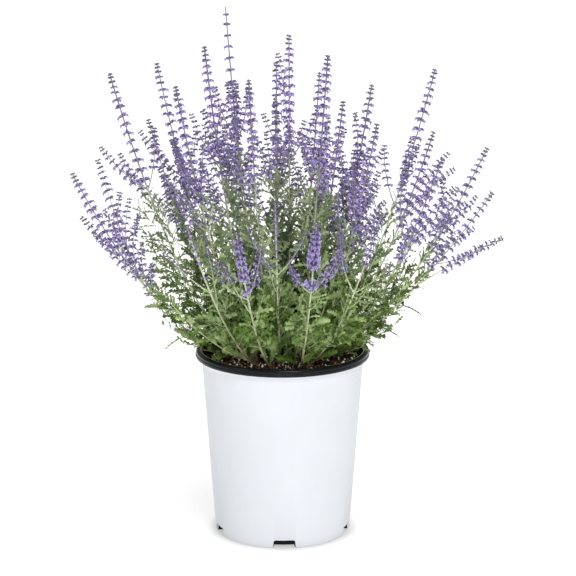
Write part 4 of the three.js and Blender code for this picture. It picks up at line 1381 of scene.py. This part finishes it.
def layExtraLeaves(skin, rng, stem, start, stop, slot, gap, scale=1.0):
    # pairs of leaves up the stem, each pair a quarter turn from the last and shorter than it
    shape = leafExtras
    pairs = len(np.arange(start, stop, gap))
    if not pairs:
        return
    count = pairs * 2
    s = np.repeat(start + gap * np.arange(pairs), 2) + astray(rng, shape["placeAstray"], count)
    a = stem["turn"] + math.pi / 2 + pairTurns(count) + astray(rng, shape["turnAstray"], count)
    p, d, side, ahead = stemFrames(stem, s)
    out = rays(side, ahead, a)
    far = np.clip(s / max(stem["cut"], 1.0), 0, 1) ** shape["leafPower"]
    long = mix(shape["leafBottom"], shape["leafTop"], far) * drawn(rng, shape["lengths"], count) * scale
    rise = drawn(rng, shape["rises"], count)
    lead = rays(out, d, rise)
    starts = p + out * shape["root"]
    sag = long * drawn(rng, shape["sags"], count)
    bends, ends = leafCourse(starts, lead, long, shape["bend"], shape["end"], sag)
    halves = long * mix(shape["wideBelow"], shape["wideAbove"], far) * drawn(rng, shape["halves"], count)
    rights = faceOutward(rng, starts, lead)
    kept = clearOfPot(starts, bends, ends, halves) & ~hidesSoil(rng, starts, bends, ends)
    layLeaves(skin, rng, starts, bends, ends, rights, halves, kept, long, bladeShape["kindLengths"], slot)


def layShoot(skin, rng, curve, right, s, turns, share, look, slots):
    # leaves at distances s along a thin stalk, each turned round it and leaning along it more by its share;
    # the whole shoot is left out if too few of them find room
    shape = shootExtras
    p, d, level, ahead = sideFrames(curve, right, s)
    rise = drawn(rng, look["rises"], len(s)) + shape["riseMore"] * share
    lead = rays(rays(level, ahead, turns), d, rise)
    long = mix(*look["leaf"], share) * drawn(rng, look["lengths"], len(s))
    bends, ends = leafCourse(p, lead, long, shape["bend"], shape["end"], long * look["sag"])
    kept = clearOfPot(p, bends, ends, long * shape["ball"]) & ~hidesSoil(rng, p, bends, ends)
    if kept.mean() < shape["fullEnough"]:
        return
    laySideStalk(skin, curve, right, slots[0], 0.5, look["stalk"], look["sides"])
    rights = faceOutward(rng, p, lead)
    layLeaves(skin, rng, p, bends, ends, rights, long * look["half"], kept, long, [look["lobed"]], slots[1])


def layAxilShoots(skin, rng, stem, start, stop, slots):
    # short leafy shoots from the leaf axils: leaves in a screw round a thin stalk
    shape = shootExtras
    across = np.searchsorted(leafExtras["bounds"], stem["curve"]["end"][0])
    k = np.arange(shape["leaves"])
    places = np.arange(start, stop, leafExtras["shootGaps"][across])
    if across == 0:
        places = start + (stop - start) * ((places - start) / (stop - start)) ** leafExtras["leftCrowd"]
    for s in np.repeat(places, 2):
        p, d, out, right = faceAt(stem, s + rng.random() * shape["placeAstray"], int(rng.integers(0, 4)))
        reach = leafExtras["shootReaches"][across] * drawn(rng, shape["reaches"])
        angle = drawn(rng, shape["angles"])
        begin = p + out * shape["root"]
        middle = begin + ray(d, out, angle * shape["bendAngle"]) * reach * 0.5
        curve = newArc(begin, middle, begin + ray(d, out, angle * shape["endAngle"]) * reach)
        outer = walk(curve, curve["length"] * np.array([0.5, 1.0]))[0]
        if hitsPot(outer, np.full(2, shape["ballSize"])).any():
            continue
        along = curve["length"] * mix(shape["bare"], 1.0, k / (len(k) - 1))
        turns = k * shape["screw"] + rng.random() * shape["screwStart"]
        layShoot(skin, rng, curve, right, along, turns, k / len(k), axilShoot, slots)


def layPairedShoot(skin, rng, curve, right, look, slots):
    # pairs of leaves up a thin stalk, each pair a quarter turn from the last and shorter than it
    shape = shootExtras
    pairs = int(curve["length"] / shape["pairGap"])
    share = np.repeat((np.arange(pairs) + shape["firstPair"]) / pairs, 2)
    s = curve["length"] * np.minimum(share, shape["lastPair"])
    turns = pairTurns(pairs * 2) + rng.random() * shape["turnStart"]
    turns = turns + astray(rng, shape["turnAstray"], pairs * 2)
    layShoot(skin, rng, curve, right, s, turns, share, look, slots)


def layFootShoots(skin, rng, stem, slots):
    # upright leafy shoots from beside the stem's foot, leaning outward with it
    shape = shootExtras
    flat = np.array([stem["foot"][0], stem["foot"][1], 0.0])
    for k in range(shape["footCount"]):
        high = shape["footHigh"] * drawn(rng, shape["footHeights"])
        begin = stem["foot"] + np.append(astray(rng, shape["footAstray"], 2), 0.0)
        end = begin + flat * drawn(rng, shape["footLean"]) + upward * high
        end = end + np.append(astray(rng, shape["tipAstray"], 2), 0.0)
        bend = mix(begin, end, shape["footBend"]) + upward * high * shape["footArch"]
        layPairedShoot(skin, rng, newArc(begin, bend, end), stem["side"], footShoot, slots)


def liftedOffSoil(starts, bends, ends):
    # the large leaves at the front stand a little steeper than in the solids, so that the soil shows: a leaf
    # rises by the most that its outer part lies under the line of sight, and its bend by half of that
    low = belowSight(arcRows(starts, bends, ends, leafExtras["liftTried"])).max(1)
    rise = np.minimum(low, leafExtras["frontLift"])[:, None] * upward
    return bends + rise * leafExtras["liftBend"], ends + rise


def makeLeafyStem(stem, number):
    # from under its foot up to the cut: stalk, the solids' leaves with cut edges, more leaves and shoots
    rng = np.random.default_rng(plantShape["leafSeed"] + stem["owner"])
    skin = newSkin()
    slots = (0, 1)
    cut = stem["cut"]
    top = cut - plantShape["seam"] / 2
    nodes = np.arange(plantShape["leafNodeStart"], cut, plantShape["leafNodeGap"] / 2)
    s = np.linspace(0.0, top, int(top / stalkShape["rowGap"]) + 2)
    p, d, right, ahead = stemFrames(stem, s)
    sunk = stem["foot"] - upward * plantShape["buried"]
    level = np.cross(upward, stem["side"])
    layStalk(skin, np.concatenate([[sunk], p]), np.concatenate([[stem["side"]], right]),
             np.concatenate([[level], ahead]),
             np.concatenate([[plantShape["stemHalf"]], stemHalves(stem, s, nodes)]),
             stem["turn"], slots[0], rng.random())
    if stem["leaves"]:
        starts, bends, ends = (np.array([leaf["curve"][key] for leaf in stem["leaves"]])
                               for key in ("start", "bend", "end"))
        bends, ends = liftedOffSoil(starts, bends, ends)
        halves = np.array([leaf["half"] for leaf in stem["leaves"]]) * leafExtras["largeHalf"]
        rights = np.array([leaf["right"] for leaf in stem["leaves"]])
        layBlades(skin, rng, starts, bends, ends, rights, halves, "large", slots[1])
    gap = leafExtras["leafGaps"][np.searchsorted(leafExtras["bounds"], stem["curve"]["end"][0])]
    low, high = leafExtras["leafEnds"]
    layExtraLeaves(skin, rng, stem, low, cut - high, slots[1], gap)
    low, high = leafExtras["shootEnds"]
    layAxilShoots(skin, rng, stem, low, cut - high, slots)
    layFootShoots(skin, rng, stem, slots)
    if stem["owner"] in creepers:
        creeper = newArc(*creepers[stem["owner"]])
        layPairedShoot(skin, rng, creeper, stem["side"], creepingShoot, slots)
    addPiece("leafyStem_" + number, skin, [finishes["stalk"], finishes["leaf"]], ["stem_" + number],
             50)


def makeFlowerSpike(stem, number):
    # above the cut: stalk, whorls of florets, side spikes with theirs, and small leaves under them; the
    # finishes by number are calyx 0, petal 1, stalk 2 and leaf 3
    rng = np.random.default_rng(plantShape["flowerSeed"] + stem["owner"])
    skin = newSkin()
    kind = spikeKinds.get(stem["owner"], usualKind)
    length = stem["curve"]["length"]
    bottom = stem["cut"] + plantShape["seam"] / 2
    flowering = length * (1 - plantShape["spikeShare"])
    s = np.linspace(bottom, length, int((length - bottom) / stalkShape["rowGap"]) + 2)
    p, d, right, ahead = stemFrames(stem, s)
    layStalk(skin, p, right, ahead, stemHalves(stem, s, []), stem["turn"], 2, rng.random())
    lowest = flowering - (whorlShape["moreBelow"] if kind["more"] else 0)
    s, share = whorlPlaces(length, lowest, kind["bare"], kind["tip"], kind["pitch"])
    high = flowersAt(rng, stemFrames(stem, s)[0], kind) & (rng.random(len(s)) >= kind["missing"])
    s, share = s[high], share[high]
    layWhorls(skin, rng, share, stemFrames(stem, s), stemHalves(stem, s, []), kind["count"],
              kind["scale"], kind)
    if kind["more"]:
        growExtraSides(stem, rng)
    growCompanions(stem)
    for side in stem["sides"] + stem["extraSides"]:
        laySideSpike(skin, rng, side, kind)
    layExtraLeaves(skin, rng, stem, stem["cut"] + leafExtras["highLeafFrom"], flowering, 3,
                   leafExtras["highLeafGap"], leafExtras["highLeafScale"])
    addPiece("flowerSpike_" + number, skin,
             [finishes["calyx"], finishes["petal"], finishes["stalk"], finishes["leaf"]],
             ["spike_" + number], 60)


for stem in stems:
    number = str(stem["owner"] + 1).zfill(2)
    makeLeafyStem(stem, number)
    makeFlowerSpike(stem, number)
print("plant ready:", sum(len(stem["extraSides"]) for stem in stems), "more side spikes")
print("triangles:", sum(pieceSizes.values()), "largest piece", max(pieceSizes.values()))
